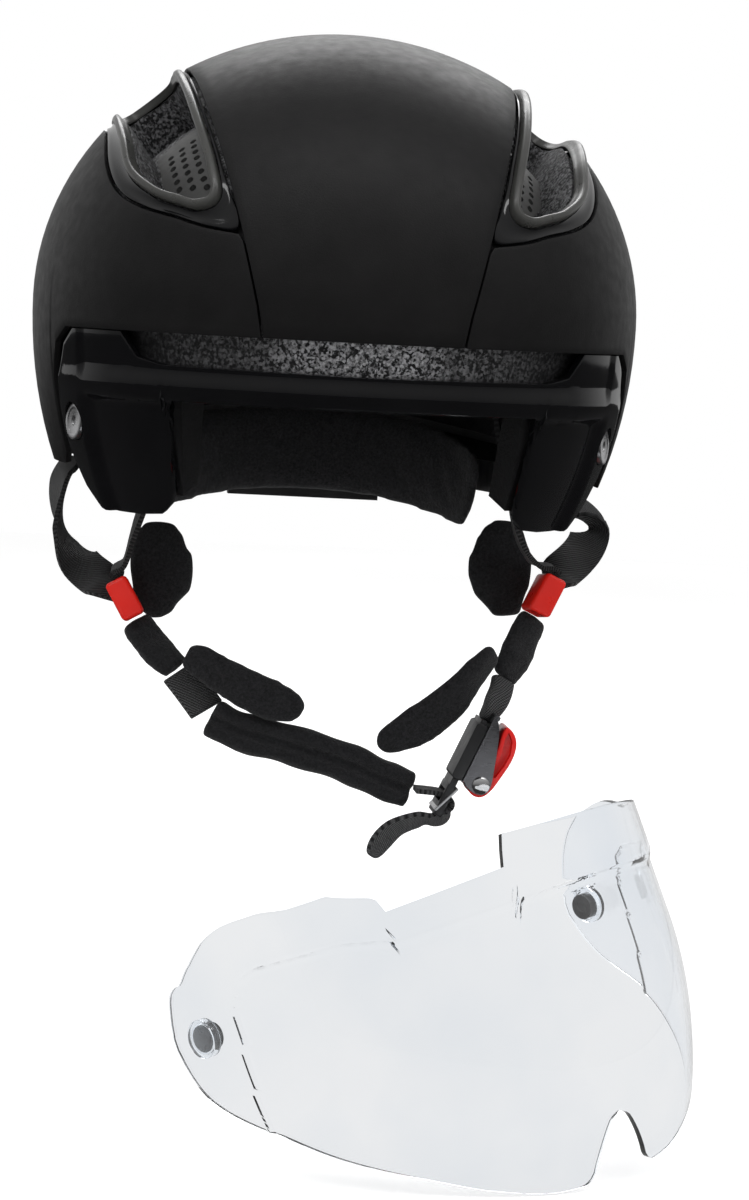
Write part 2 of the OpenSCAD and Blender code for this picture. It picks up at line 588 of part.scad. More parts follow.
module crown_pad() {
    span = 34;
    n = 8;
    function spot(i, j, deep) = let (x = mix(-span, span, i / n), y = mix(-span * 1.6, span * 1.6, j / n),
            b = y < 0 ? cavity_front : cavity_back)
        [x, y, waist_z + cavity_h * sqrt(1 - pow(x / cavity_half_w, 2) - pow(y / b, 2)) - deep];
    function swell(i, j) = let (u = 2 * i / n - 1, v = 2 * j / n - 1)
        0.35 + 0.65 * sqrt(max(0, (1 - pow(u, 4)) * (1 - pow(v, 4))));
    color([0.1, 0.1, 0.1]) wall_solid(
        [for (i = [0:n]) [for (j = [0:n]) spot(i, j, pad_gap + 0.3)]],
        [for (i = [0:n]) [for (j = [0:n]) spot(i, j, pad_gap + 0.3 + pad_t * swell(i, j))]]);
}
// The nape pad hangs lower at its two ends than in its middle
nape_y = 95;
nape_h = 35;
nape_route = [for (p = [[-63, 56, -34], [-54, 72, -27.5], [-36, 86, -22], [-15, nape_y - 1.5, -19.5],
    [0, nape_y, -19], [15, nape_y - 1.5, -19.5], [36, 86, -22], [54, 72, -27.5], [63, 56, -34]]) widened(p)];
module nape_pad() {
    function up(f) = [0, 0, 1];
    function wide(f) = nape_h - 5 * pow(2 * f - 1, 4);
    function thick(f) = 4 + 5 * sin(180 * f);
    color([0.1, 0.1, 0.1]) loft(strap(smooth(nape_route, 2), function (f) up(f), function (f) wide(f),
        function (f) thick(f), 12));
}

// Fit system: two cradle arms, and the racks beside their ends that the dial draws in
gear_m = 1.25;
pinion_teeth = 10;
rack_y = nape_y + 8.45;
pitch_r = gear_m * pinion_teeth / 2;
rack_tip = pitch_r - 0.7 * gear_m;
rack_root = pitch_r + 0.9 * gear_m;
rack_len = 48;
foot_len = 10;
box_half_w = 30;
box_wall = 1.6;
box_top = rack_root + rack_h + rack_gap;
arm_y = rack_y - rack_t / 2 - rack_gap - arm_t / 2;
// The arm's upright end lies against the foam just above its rim
arm_end_turn = 85;
arm_end = at_height(arm_end_turn, lookup(arm_end_turn, foam_rim), -rim_foam - arm_t / 2 - 0.6);
arm_tab_z = 12;
arm_line = smooth([[50, arm_y], widened([61, 90]), widened([68.5, 70]), widened([73, 48]), widened([75.5, 30]),
    [arm_end[0], arm_end[1]]], 3);
module cradle_arm(side) {
    line = concat([[box_half_w + 1, arm_y], [40, arm_y]], arm_line);
    n = len(line) - 1;
    function turn(i) = let (d = unit(line[min(n, i + 1)] - line[max(0, i - 1)])) [d[1], -d[0]];
    module plan(first) polygon(concat([for (i = [first:n]) line[i] + turn(i) * arm_t / 2],
        [for (i = [n:-1:first]) line[i] - turn(i) * arm_t / 2]));
    color([0.05, 0.05, 0.05]) both(side) translate([0, 0, dial_z - arm_h / 2]) {
        linear_extrude(arm_h) plan(0);
        linear_extrude(arm_h + arm_tab_z) plan(n - 3);
    }
}
module cradle_arm_right() {
    cradle_arm(-1);
}
module cradle_arm_left() {
    cradle_arm(1);
}
module rack_bar() {
    // Teeth point down at the pinion, the bar lies above them
    half = gear_m * PI / 4 - 0.18;
    translate([0, rack_t / 2, 0]) rotate([90, 0, 0]) linear_extrude(rack_t) {
        translate([-8, rack_root]) square([rack_len, rack_h]);
        // Foot that runs beside the cradle arm
        translate([rack_len - 10, -arm_h / 2]) square([foot_len, rack_root + rack_h + arm_h / 2]);
        for (k = [-2:7])
            translate([k * gear_m * PI + gear_m * PI / 2, 0]) polygon([
                [-half - 0.9 * gear_m * tan(20), rack_root + 0.01], [-half + 0.7 * gear_m * tan(20), rack_tip],
                [half - 0.7 * gear_m * tan(20), rack_tip], [half + 0.9 * gear_m * tan(20), rack_root + 0.01]]);
    }
}
module rack_left() {
    color([0.15, 0.15, 0.15]) translate([0, rack_y, dial_z]) rack_bar();
}
module rack_right() {
    color([0.15, 0.15, 0.15]) translate([0, rack_y, dial_z]) rotate([0, 180, 0]) rack_bar();
}
base_r = pitch_r * cos(20);
function involute(r) = let (w = acos(min(1, base_r / r))) tan(w) * 180 / PI - w;
tooth_half = 90 / pinion_teeth - 0.15 / pitch_r * 180 / PI + involute(pitch_r);
pinion_out = pitch_r + 0.75 * gear_m;
pinion_root = pitch_r - 1.05 * gear_m;
module pinion_shape() {
    flank = [for (k = [0:4]) mix(base_r, pinion_out, k / 4)];
    union() {
        circle(r = pinion_root, $fn = 40);
        for (k = [0:pinion_teeth - 1]) rotate(90 + 360 * k / pinion_teeth) polygon(concat(
            [[pinion_root - 0.5, -1.1], [pinion_root - 0.5, 1.1]],
            [for (r = flank) let (a = tooth_half - involute(r)) [r * cos(a), r * sin(a)]],
            [for (k = [4:-1:0]) let (r = flank[k], a = involute(r) - tooth_half) [r * cos(a), r * sin(a)]]));
    }
}
knob_y = rack_y + rack_t / 2 + rack_gap + box_wall + 0.6;
module fit_dial() {
    ribs = 20;
    color([0.08, 0.08, 0.08]) difference() {
        union() {
            translate([0, rack_y + rack_t / 2, dial_z]) rotate([90, 0, 0]) linear_extrude(rack_t)
                pinion_shape();
            translate([0, knob_y + 0.1, dial_z]) rotate([90, 0, 0])
                cylinder(r = 4, h = knob_y - rack_y, $fn = 40);
            translate([0, knob_y + dial_t, dial_z]) rotate([90, 0, 0]) linear_extrude(dial_t) difference() {
                circle(r = dial_r, $fn = 64);
                for (k = [0:ribs - 1]) rotate(360 * k / ribs) translate([dial_r + 0.5, 0])
                    circle(r = 1.3, $fn = 16);
            }
        }
        translate([0, rack_y - 20, dial_z]) rotate([-90, 0, 0])
            cylinder(r = dial_pin_r + pivot_gap, h = 60, $fn = 40);
    }
}
box_front = rack_y - rack_t / 2 - rack_gap;
box_back = rack_y + rack_t / 2 + rack_gap;
module dial_housing() {
    span = 2 * box_half_w;
    color([0.05, 0.05, 0.05]) difference() {
        translate([-box_half_w, box_front - box_wall, dial_z - box_top - box_wall])
            cube([span, box_back - box_front + 2 * box_wall, 2 * box_top + 2 * box_wall]);
        // Room for the racks and the pinion, open at both sides
        translate([-box_half_w - 1, box_front, dial_z - box_top])
            cube([span + 2, box_back - box_front, 2 * box_top]);
        translate([0, box_front - 10, dial_z]) rotate([-90, 0, 0])
            cylinder(r = dial_pin_r + 0.02, h = 12, $fn = 40);
        translate([0, box_back - 1, dial_z]) rotate([-90, 0, 0]) cylinder(r = 4.5, h = 10, $fn = 40);
    }
}
module dial_pin() {
    end = knob_y + dial_t + 0.4;
    color([0.6, 0.6, 0.62]) translate([0, box_front - box_wall, dial_z]) rotate([-90, 0, 0]) {
        cylinder(r = dial_pin_r, h = end - box_front + box_wall + 1.2, $fn = 40);
        translate([0, 0, end - box_front + box_wall]) cylinder(r = 3.2, h = 1.2, $fn = 40);
    }
}

// Dividers: a body with a window, through which the straps pass
divider_spot_left = [80, -29.5, -64.5];
divider_spot_right = [-73.5, -29.5, -72.5];
divider_run_left = unit([-0.42, -0.1, -0.9]);
divider_run_right = unit([0.5, -0.12, -0.86]);
divider_w = web_w + 5;
divider_wall = 1.5;
// Turns +Z onto a direction, with +Y kept near the helmet's Y
function side_of(d) = unit(cross([0, 1, 0], d));
function frame_along(d) = let (x = side_of(d), y = cross(d, x))
    [[x[0], y[0], d[0], 0], [x[1], y[1], d[1], 0], [x[2], y[2], d[2], 0], [0, 0, 0, 1]];
function by_divider(spot, d, q) = let (x = side_of(d)) spot + x * q[0] + cross(d, x) * q[1] + d * q[2];
module divider(spot, dir) {
    color([0.8, 0.08, 0.06]) translate(spot) multmatrix(frame_along(dir)) difference() {
        cube([divider_t, divider_w, divider_len], center = true);
        cube([divider_t - 2 * divider_wall, divider_w - 3, divider_len + 2], center = true);
    }
}
module strap_divider_left() {
    divider(divider_spot_left, divider_run_left);
}
module strap_divider_right() {
    divider(divider_spot_right, divider_run_right);
}
// Straps: routes run from the helmet down to the dividers, chosen by hand
front_anchor = widened([53, -68.5, 17]);
rear_anchor = at_height(104, -24, -7);
front_in = [0.6, 0, -1];
front_route_left = [front_anchor, widened([54.5, -65, 6]), widened([58, -60, -12]), widened([64, -46, -31]),
    [70, -35, -45], [76, -31, -52.5],
    by_divider(divider_spot_left, divider_run_left, [front_in[0], 0, -10]),
    by_divider(divider_spot_left, divider_run_left, front_in)];
front_route_right = [flipped(front_anchor), widened([-54.5, -65, 6]), widened([-58.7, -60, -11]),
    widened([-66.8, -48, -30]), [-71, -38, -45], [-74, -31, -58],
    by_divider(divider_spot_right, divider_run_right, [-front_in[0], 0, -10]),
    by_divider(divider_spot_right, divider_run_right, [-front_in[0], 0, front_in[2]])];
rear_in = [0, divider_w / 2 + 3.9, -4];
rear_route_left = [rear_anchor + [1, 0, -3.4], rear_anchor + [6, -4, -10.5], [103, 18, -39], [102, 10, -45],
    [97, 0, -51], [88, -13, -57], by_divider(divider_spot_left, divider_run_left, rear_in + [0, 3.2, -3])];
rear_route_right = [flipped(rear_anchor) + [-1, 0, -3.4], flipped(rear_anchor) + [-5.5, -4, -11.4],
    [-98, 18, -43], [-95.5, 10, -53], [-90, 1, -62], [-82, -12, -67.5],
    by_divider(divider_spot_right, divider_run_right, rear_in + [0, 1.8, -1.4])];
module web(route, side, w = web_w) {
    loft(strap(smooth(route, 3), side, function (f) w, function (f) web_t));
}
module front_strap_left() {
    color([0.08, 0.08, 0.08])
        web(front_route_left, function (f) mix([0.35, 0.9, 0.1], [0, 1, 0], min(1, 1.6 * f)));
}
module front_strap_right() {
    color([0.08, 0.08, 0.08])
        web(front_route_right, function (f) mix([-0.35, 0.9, 0.1], [0, 1, 0], min(1, 1.6 * f)));
}
module rear_strap_left() {
    color([0.08, 0.08, 0.08]) web(rear_route_left, function (f) mix([0.1, 0.8, 0.3], [0.1, 0.7, 0.7], f));
}
module rear_strap_right() {
    color([0.08, 0.08, 0.08]) web(rear_route_right, function (f) mix([-0.1, 0.8, 0.3], [-0.1, 0.7, 0.7], f));
}
// Plugs that hold the straps' upper ends in the foam
plug_r = 5;
plug_gap = 0.3;
plug_turn = -24;
module front_plug(r) {
    translate(front_anchor + [0, 0, -3]) rotate([0, 90, plug_turn]) translate([0, 0, web_t / 2 + 0.75])
        cylinder(r = r, h = 16, $fn = 32);
}
module rear_plug(gap) {
    translate(rear_anchor + [0, 0, 3]) rotate([0, 0, 14])
        cube([5 + 2 * gap, web_w + 2 * gap, 10 + 2 * gap], center = true);
}
module strap_anchors() {
    color([0.1, 0.1, 0.1]) for (s = [-1, 1]) both(s) {
        front_plug(plug_r);
        rear_plug(0);
    }
}
// Fleece lobes behind the dividers
ear_route_left = [[66, -14, -38], [65.5, -16, -48], [65, -18, -58], [67, -18, -67], [68, -19, -74]];
ear_route_right = [[-62, -14, -44], [-61.5, -15, -54], [-60, -15.4, -64], [-61, -16.2, -73], [-60, -17.4, -80]];
function lobe_w(f) = 12 + 13 * sin(180 * min(1, f * 1.15)) + 2 * f;
module ear_pad(route) {
    color([0.09, 0.09, 0.09]) loft(strap(smooth(route, 3), function (f) [1, 0.15, 0],
        function (f) lobe_w(f), function (f) ear_pad_t * (0.55 + 0.45 * sin(180 * f)), 12));
}
module ear_pad_left() {
    ear_pad(ear_route_left);
}
module ear_pad_right() {
    ear_pad(ear_route_right);
}
// Padded lower straps
lower_route_left = [[76.8, -30.9, -72.4], [73, -33, -80], [69.5, -36, -88], [65.5, -38, -95]];
lower_route_right = [[-69.8, -30.9, -80.1], [-65, -33, -86], [-60, -36, -91.5], [-54, -39, -96.5]];
module lower_strap(route) {
    color([0.09, 0.09, 0.09]) loft(strap(smooth(route, 3), function (f) [0.8, 0.5, 0.2],
        function (f) 13 + 2 * sin(180 * f), function (f) 7 + 1.2 * sin(720 * f), 12));
}
module lower_strap_left() {
    lower_strap(lower_route_left);
}
module lower_strap_right() {
    lower_strap(lower_route_right);
}
// Free flaps of the chin pad
flap_route_left = [[61, -46.8, -84], [54.2, -48.8, -91.6], [45, -50, -103], [33, -51, -112.5],
                   [20.5, -52, -120]];
flap_route_right = [[-51, -43.8, -89.5], [-38, -48.5, -97], [-24, -52, -103.5], [-8, -53, -108.5]];
function flap_w(f) = (9 + 5.5 * sin(180 * min(1, 0.25 + 0.7 * f))) * sqrt(min(1, 1.15 - f));
module chin_flap(route) {
    color([0.09, 0.09, 0.09]) loft(strap(smooth(route, 3), function (f) [0.5, 0, 0.85],
        function (f) flap_w(f), function (f) 5 + 1.5 * sin(180 * f), 12));
}
module chin_pad_left() {
    chin_flap(flap_route_left);
}
module chin_pad_right() {
    chin_flap(flap_route_right);
}
web_route = [[-53.4, -39.2, -97.3], [-48, -41, -103.6], [-42.5, -43.4, -110.4]];
module chin_web() {
    color([0.16, 0.16, 0.16]) web(web_route, function (f) [0.6, 0.6, 0.5]);
}
sleeve_route = [[-41.5, -44, -112.5], [-30, -45.5, -117.5], [-12, -47, -121.5], [8, -48, -127],
    [22, -48, -132.5], [33, -48, -136.2]];
module chin_sleeve() {
    color([0.09, 0.09, 0.09]) loft(strap(smooth(sleeve_route, 3), function (f) [0.35, 0, 0.93],
        function (f) sleeve_h * (0.9 + 0.1 * sin(180 * f)) + 0.5 * sin(1800 * f),
        function (f) sleeve_t * (0.8 + 0.2 * sin(180 * f)), 16, 0.35));
}
hook_route = [[65.6, -38.6, -96.1], [64.6, -42, -100.4], [61.5, -46.2, -105]];
module hook_web() {
    color([0.16, 0.16, 0.16]) web(hook_route, function (f) [0.5, 0.8, 0.3]);
}

// Buckle: u runs down the tongue, v out towards the lever, w along the rivet
buckle_top = [58, -48, -108];
buckle_u = unit([-0.4, 0, -0.916]);
buckle_v = [-buckle_u[2], 0, buckle_u[0]];
module buckle_frame() {
    translate(buckle_top) multmatrix([
        [buckle_u[0], buckle_v[0], 0, 0],
        [0, 0, 1, 0],
        [buckle_u[2], buckle_v[2], 0, 0],
        [0, 0, 0, 1]]) children();
}
rivet_spot = [22.5, 8.6];
cheek_half = buckle_w / 2;
cheek_shape = [[-2, -2.6], [-2, 3], [6.6, 7.6], [19, 12.2], [23.5, 12.8], [26.4, 10.6], [26.6, 7.2],
    [24, 2.4], [21.5, -2.6]];
back_v = -3.8;
module buckle_housing() {
    color([0.3, 0.3, 0.32]) buckle_frame() difference() {
        union() {
            for (s = [-1, 1]) translate([0, 0, s * (cheek_half + cheek_t / 2) - cheek_t / 2])
                linear_extrude(cheek_t) polygon(cheek_shape);
            translate([-2, back_v, -cheek_half - cheek_t]) cube([23.5, 1.3, buckle_w + 2 * cheek_t]);
            // Cross bar that carries the webbing loop
            translate([-2, back_v, -cheek_half - cheek_t]) cube([1.4, 6, buckle_w + 2 * cheek_t]);
        }
        translate([rivet_spot[0], rivet_spot[1], -20]) cylinder(r = rivet_r + 0.02, h = 40, $fn = 40);
    }
}
module buckle_rivet() {
    color([0.8, 0.8, 0.82]) buckle_frame() translate([rivet_spot[0], rivet_spot[1], 0]) {
        reach = cheek_half + cheek_t;
        translate([0, 0, -reach]) cylinder(r = rivet_r, h = 2 * reach, $fn = 40);
        for (s = [-1, 1]) translate([0, 0, s * (reach + 0.7) - 0.7])
            cylinder(r = rivet_head_r, h = 1.4, $fn = 48);
    }
}
lever_half = cheek_half - cheek_gap;
lever_shape = [[-1, 9.4], [3.6, 14], [9, 16.2], [15, 16.6], [22, 15], [26.6, 12.4], [27.8, 8.6], [26, 5.4],
    [21, 4.6], [16.5, 5.8], [15.5, 8.4], [9, 11.4], [3, 8.8]];
spring_r = 3.3;
spring_room = 9;
module release_lever() {
    color([0.8, 0.06, 0.05]) buckle_frame() difference() {
        translate([0, 0, -lever_half]) linear_extrude(2 * lever_half) polygon(lever_shape);
        translate([rivet_spot[0], rivet_spot[1], -20]) cylinder(r = rivet_r + pivot_gap, h = 40, $fn = 40);
        translate([rivet_spot[0], rivet_spot[1], -spring_room / 2])
            cylinder(r = spring_r + 0.4, h = spring_room, $fn = 40);
    }
}
// Torsion spring round the rivet: one helix of wire
spring_wire_r = 0.4;
spring_turns = 5;
spring_pitch = 1.5;
module lever_spring() {
    ring_r = (spring_r + rivet_r) / 2 + 0.15;
    steps = 8;
    function spot(k, deg) = let (a = 360 * k / steps, q = ring_r + spring_wire_r * cos(deg))
        [q * cos(a), q * sin(a), spring_pitch * (k / steps - spring_turns / 2) + spring_wire_r * sin(deg)];
    color([0.7, 0.7, 0.72]) buckle_frame() translate([rivet_spot[0], rivet_spot[1], 0])
        loft([for (k = [0:spring_turns * steps]) [for (q = [5:-1:0]) spot(k, 60 * q)]]);
}
tongue_half = cheek_half - cheek_gap;
tongue_low = -1.6;
module ratchet_tongue() {
    teeth = 7;
    color([0.05, 0.05, 0.05]) buckle_frame() difference() {
        translate([0, 0, -tongue_half]) linear_extrude(2 * tongue_half) union() {
            translate([1, tongue_low]) square([27, tongue_t]);
            for (k = [0:teeth - 1]) translate([3.5 + k * tooth_pitch, tongue_low + tongue_t - 0.05])
                polygon([[0, 0], [tooth_pitch * 0.9, 0], [0, 1.1]]);
            translate([27, tongue_low - 0.4]) square([12.5, tongue_t + 0.8]);
        }
        // Window for the webbing loop, above the slider bar
        translate([29.5, -6, -tongue_half + 2]) cube([5, 12, 2 * tongue_half - 4]);
    }
}
// The tail comes from the sleeve, passes up the window and lies over the slider bar
function on_buckle(u, v) = buckle_top + buckle_u * u + buckle_v * v;
tail_route = [on_buckle(34.9, -10.8), on_buckle(33.2, -6.2), on_buckle(32, -2.4), on_buckle(31.9, 0.6),
    on_buckle(33.2, 2.9), on_buckle(35.6, 3.4), on_buckle(39, 3), on_buckle(41.6, 0.4),
    [36, -48, -146.8], [28, -48, -150], [23, -48, -155], [19.6, -48, -161]];
module strap_tail() {
    color([0.08, 0.08, 0.08]) loft(strap(smooth(tail_route, 3), function (f) [0, 1, 0],
        function (f) 2 * tongue_half - 5, function (f) web_t));
}

// Visor: t is the azimuth from the nose, v the height over the magnets
lens_top = [[0, 26], [45, 26], [58, 29], [66, 34], [76, 37], [84, 35.5], [90, 31], [94, 24], [97, 14],
            [98.6, 6]];
lens_low = [[0, -65], [2.5, -66.5], [5, -71], [8, -78], [10, -83], [13, -84.5], [20, -83.5], [35, -76.5],
    [51, -64], [66, -50], [80, -33], [90, -21], [94, -14.5], [97, -6], [98.6, 2]];
lens_marks = [0, 2.5, 5, 8, 10, 13, 20, 28, 36, 44, 52, 60, 66, 72, 78, 84, 90, 94, 97, 98.6];
lens_ts = concat([for (k = [len(lens_marks) - 1:-1:1]) -lens_marks[k]], lens_marks);
lens_rows = 7;
function lens_round(v) = 1 - pow(min(0, v + 8) / 165, 2);
function lens_point(t, v, off) = let (k = lens_round(v))
    [(visor_half_w * k + off) * sin(t), -(visor_depth * k + off) * cos(t), v];
module visor_frame() {
    translate([visor_left, -visor_ahead, -visor_drop]) rotate([0, 0, -visor_aim]) rotate([-visor_pitch, 0, 0])
        rotate([0, -visor_roll, 0]) rotate([0, 0, visor_yaw]) children();
}
module visor_lens() {
    function column(t, off) = let (low = lookup(abs(t), lens_low), high = lookup(abs(t), lens_top))
        [for (j = [0:lens_rows]) lens_point(t, mix(low, high, j / lens_rows), off)];
    color([0.85, 0.9, 0.95, 0.4]) visor_frame()
        wall_solid([for (t = lens_ts) column(t, 0)], [for (t = lens_ts) column(t, -lens_t)]);
}
// A magnet's seat on the inner side of each wing, with its axis across the visor
cup_r = magnet_r + 2;
cup_h = 3;
module wing_place(side) {
    visor_frame() translate([side * (visor_half_w - lens_t - 0.5), 0, 3]) rotate([0, -90 * side, 0]) children();
}
module visor_cup(side) {
    color([0.75, 0.78, 0.8]) wing_place(side) difference() {
        cylinder(r = cup_r, h = cup_h, $fn = 48);
        translate([0, 0, 0.8]) cylinder(r = magnet_r + 0.15, h = cup_h, $fn = 48);
    }
}
module visor_magnet(side) {
    color([0.1, 0.1, 0.1]) wing_place(side) translate([0, 0, 0.8])
        cylinder(r = magnet_r, h = magnet_h, $fn = 48);
}
module visor_cup_right() {
    visor_cup(-1);
}
module visor_cup_left() {
    visor_cup(1);
}
module visor_magnet_right() {
    visor_magnet(-1);
}
module visor_magnet_left() {
    visor_magnet(1);
}

crown_panel();
side_shell_right();
side_shell_left();
foam_liner();
vent_bezel_right();
vent_bezel_left();
vent_rim_right();
vent_rim_left();
vent_grille_right();
vent_grille_left();
rear_vent_cover_right();
rear_vent_cover_left();
front_fascia();
magnet_seat_right();
magnet_seat_left();
brow_pad();
crown_pad();
side_pad_right();
side_pad_left();
nape_pad();
cradle_arm_right();
cradle_arm_left();
dial_housing();
rack_right();
rack_left();
dial_pin();
fit_dial();
strap_anchors();
front_strap_right();
front_strap_left();
rear_strap_right();
rear_strap_left();
ear_pad_right();
ear_pad_left();
strap_divider_right();
strap_divider_left();
lower_strap_right();
lower_strap_left();
chin_pad_right();
chin_pad_left();
chin_web();
chin_sleeve();
hook_web();
buckle_housing();
buckle_rivet();
release_lever();
lever_spring();
ratchet_tongue();
strap_tail();
visor_lens();
visor_magnet_right();
visor_magnet_left();
visor_cup_right();
visor_cup_left();
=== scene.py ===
import json
import math
import bpy
from mathutils import Matrix, Vector


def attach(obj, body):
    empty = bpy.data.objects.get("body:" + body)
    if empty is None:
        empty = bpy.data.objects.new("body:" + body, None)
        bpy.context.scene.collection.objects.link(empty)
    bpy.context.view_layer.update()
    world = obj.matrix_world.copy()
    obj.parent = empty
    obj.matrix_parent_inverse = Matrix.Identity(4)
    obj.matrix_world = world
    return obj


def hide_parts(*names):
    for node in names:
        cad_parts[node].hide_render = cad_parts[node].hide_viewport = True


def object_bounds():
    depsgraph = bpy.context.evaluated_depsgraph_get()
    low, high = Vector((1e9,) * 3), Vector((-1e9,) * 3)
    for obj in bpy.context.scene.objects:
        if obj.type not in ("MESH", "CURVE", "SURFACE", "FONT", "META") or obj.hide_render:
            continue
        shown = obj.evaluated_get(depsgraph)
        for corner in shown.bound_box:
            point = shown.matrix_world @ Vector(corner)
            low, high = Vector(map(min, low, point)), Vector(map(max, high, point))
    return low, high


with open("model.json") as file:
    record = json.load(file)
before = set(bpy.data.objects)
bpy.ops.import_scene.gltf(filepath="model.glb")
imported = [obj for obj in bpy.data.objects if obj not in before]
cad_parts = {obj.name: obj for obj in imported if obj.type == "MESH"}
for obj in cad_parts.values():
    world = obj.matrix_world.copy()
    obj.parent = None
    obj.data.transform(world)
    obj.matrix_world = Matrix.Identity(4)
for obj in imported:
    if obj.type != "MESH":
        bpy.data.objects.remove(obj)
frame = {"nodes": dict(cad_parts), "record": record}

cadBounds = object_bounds()
bpy.context.scene.view_settings.view_transform = "Standard"
mm = 0.001
perRadian = 57.3
turnedSides, rodSides = 56, 48


# Camera at the photograph's angle, first of all
cameraLook = {"yaw": -5.0, "roll": 3.0, "distance": 1.4, "height": 0.040, "aimAcross": 0.010544,
              "aimDown": 0.080077, "sensor": 36, "lens": 112.76}


def addCamera(look):
    yaw, roll = math.radians(look["yaw"]), math.radians(look["roll"])
    ahead = Vector((-math.sin(yaw), math.cos(yaw), 0))
    level = Vector((math.cos(yaw), math.sin(yaw), 0))
    right = level * math.cos(roll) + Vector((0, 0, 1)) * math.sin(roll)
    up = Vector((0, 0, 1)) * math.cos(roll) - level * math.sin(roll)
    aim = (ahead + right * look["aimAcross"] - up * look["aimDown"]).normalized()
    spot = Vector((0, 0, look["height"])) - ahead * look["distance"]
    sideways = aim.cross(up).normalized()
    upright = sideways.cross(aim)
    bpy.ops.object.camera_add(location=spot)
    camera = bpy.context.object
    camera.matrix_world = Matrix((sideways, upright, -aim)).transposed().to_4x4()
    camera.location = spot
    camera.data.sensor_fit = "VERTICAL"
    camera.data.sensor_height = look["sensor"]
    camera.data.lens = look["lens"]
    bpy.context.scene.camera = camera


addCamera(cameraLook)
print("camera placed")


# Small sums that the pieces share
def sinD(a):
    return math.sin(math.radians(a))


def cosD(a):
    return math.cos(math.radians(a))


def mix(a, b, f):
    return a + (b - a) * f


def clamp(f):
    return min(1.0, max(0.0, f))


def ease(f):
    f = clamp(f)
    return f * f * (3 - 2 * f)


def curveThrough(table):
    # A smooth curve without overshoot through (x, y) pairs
    xs, ys = [p[0] for p in table], [p[1] for p in table]
    steps = [(ys[i + 1] - ys[i]) / (xs[i + 1] - xs[i]) for i in range(len(xs) - 1)]
    inner = [0 if a * b <= 0 else 2 * a * b / (a + b) for a, b in zip(steps, steps[1:])]
    slopes = [steps[0]] + inner + [steps[-1]]

    def at(x):
        x = min(max(x, xs[0]), xs[-1])
        i = max([k for k in range(len(xs) - 1) if xs[k] <= x] or [0])
        h = xs[i + 1] - xs[i]
        f = (x - xs[i]) / h
        return (ys[i] * (1 + 2 * f) * (1 - f) ** 2 + ys[i + 1] * f * f * (3 - 2 * f)
                + h * (slopes[i] * f * (1 - f) ** 2 - slopes[i + 1] * f * f * (1 - f)))
    return at


def between(a, b, c, d, f):
    return 0.5 * (2 * b + (c - a) * f + (2 * a - 5 * b + 4 * c - d) * f * f + (3 * b - a - 3 * c + d) * f ** 3)


def alongRoute(points, f):
    # A point on the smooth curve through the given points, f from 0 to 1
    m = len(points) - 1
    s = clamp(f) * m
    i = min(int(s), m - 1)
    return between(points[max(0, i - 1)], points[i], points[i + 1], points[min(m, i + 2)], s - i)


def alongLoop(points, f):
    m = len(points)
    s = (f % 1.0) * m
    i = int(s) % m
    return between(points[i - 1], points[i], points[(i + 1) % m], points[(i + 2) % m], s - int(s))


def onLoop(pairs, f):
    # A spot on the smooth closed curve through flat points
    return alongLoop([Vector((*p, 0)) for p in pairs], f)[:2]


def straight(table, x):
    # A broken line through (x, y) pairs
    for (a, c), (b, d) in zip(table, table[1:]):
        if x <= b:
            return c if x <= a else mix(c, d, (x - a) / (b - a))
    return table[-1][1]


def inMm(pairs):
    return [(a * mm, b * mm) for a, b in pairs]


# Modelling helpers
def deselectAll():
    if bpy.context.object and bpy.context.object.mode != "OBJECT":
        bpy.ops.object.mode_set(mode="OBJECT")
    bpy.ops.object.select_all(action="DESELECT")


def takeUp(piece):
    deselectAll()
    piece.select_set(True)
    bpy.context.view_layer.objects.active = piece


def added(name, add, **settings):
    # A new primitive or lamp under its own name
    deselectAll()
    add(**settings)
    piece = bpy.context.object
    piece.name = name
    return piece


def pickAll():
    bpy.ops.mesh.select_all(action="SELECT")


def faceOut():
    bpy.ops.mesh.normals_make_consistent(inside=False)


def inEdit(piece, *steps):
    takeUp(piece)
    bpy.ops.object.mode_set(mode="EDIT")
    pickAll()
    for step in steps:
        step()
    bpy.ops.object.mode_set(mode="OBJECT")


def evenNormals(piece):
    inEdit(piece, faceOut)


def modify(piece, kind, **settings):
    takeUp(piece)
    modifier = piece.modifiers.new(kind.title(), kind)
    for key, value in settings.items():
        setattr(modifier, key, value)
    bpy.ops.object.modifier_apply(modifier=modifier.name)


def roundEdges(piece, width, segments=3, angle=50):
    modify(piece, "BEVEL", width=width, segments=segments, limit_method="ANGLE",
           angle_limit=math.radians(angle), use_clamp_overlap=True)


def smooth(piece, angle=35):
    takeUp(piece)
    bpy.ops.object.shade_smooth_by_angle(angle=math.radians(angle))


def gridPiece(name, cols, rows, place, size=None):
    # A primitive grid whose points are moved to their places; size keeps its UV in metres
    piece = added(name, bpy.ops.mesh.primitive_grid_add, x_subdivisions=cols, y_subdivisions=rows, size=1.0)
    if size:
        for loop in piece.data.uv_layers.active.data:
            loop.uv = (loop.uv[0] * size[0], loop.uv[1] * size[1])
    for vertex in piece.data.vertices:
        vertex.co = place(clamp(vertex.co.x + 0.5), clamp(vertex.co.y + 0.5))
    piece.data.update()
    return piece


def thicken(piece, wall, rounding=0.0, centre=None, segments=2):
    # A sheet gets its wall, inwards from the side that faces away from the centre
    if centre is not None:
        middle = Vector(centre)
        facing = sum(p.area * p.normal.dot(p.center - middle) for p in piece.data.polygons)
        if facing < 0:
            inEdit(piece, lambda: bpy.ops.mesh.flip_normals())
    modify(piece, "SOLIDIFY", thickness=wall, offset=-1 if centre is not None else 0, use_even_offset=False)
    if rounding:
        roundEdges(piece, rounding, segments)
    evenNormals(piece)


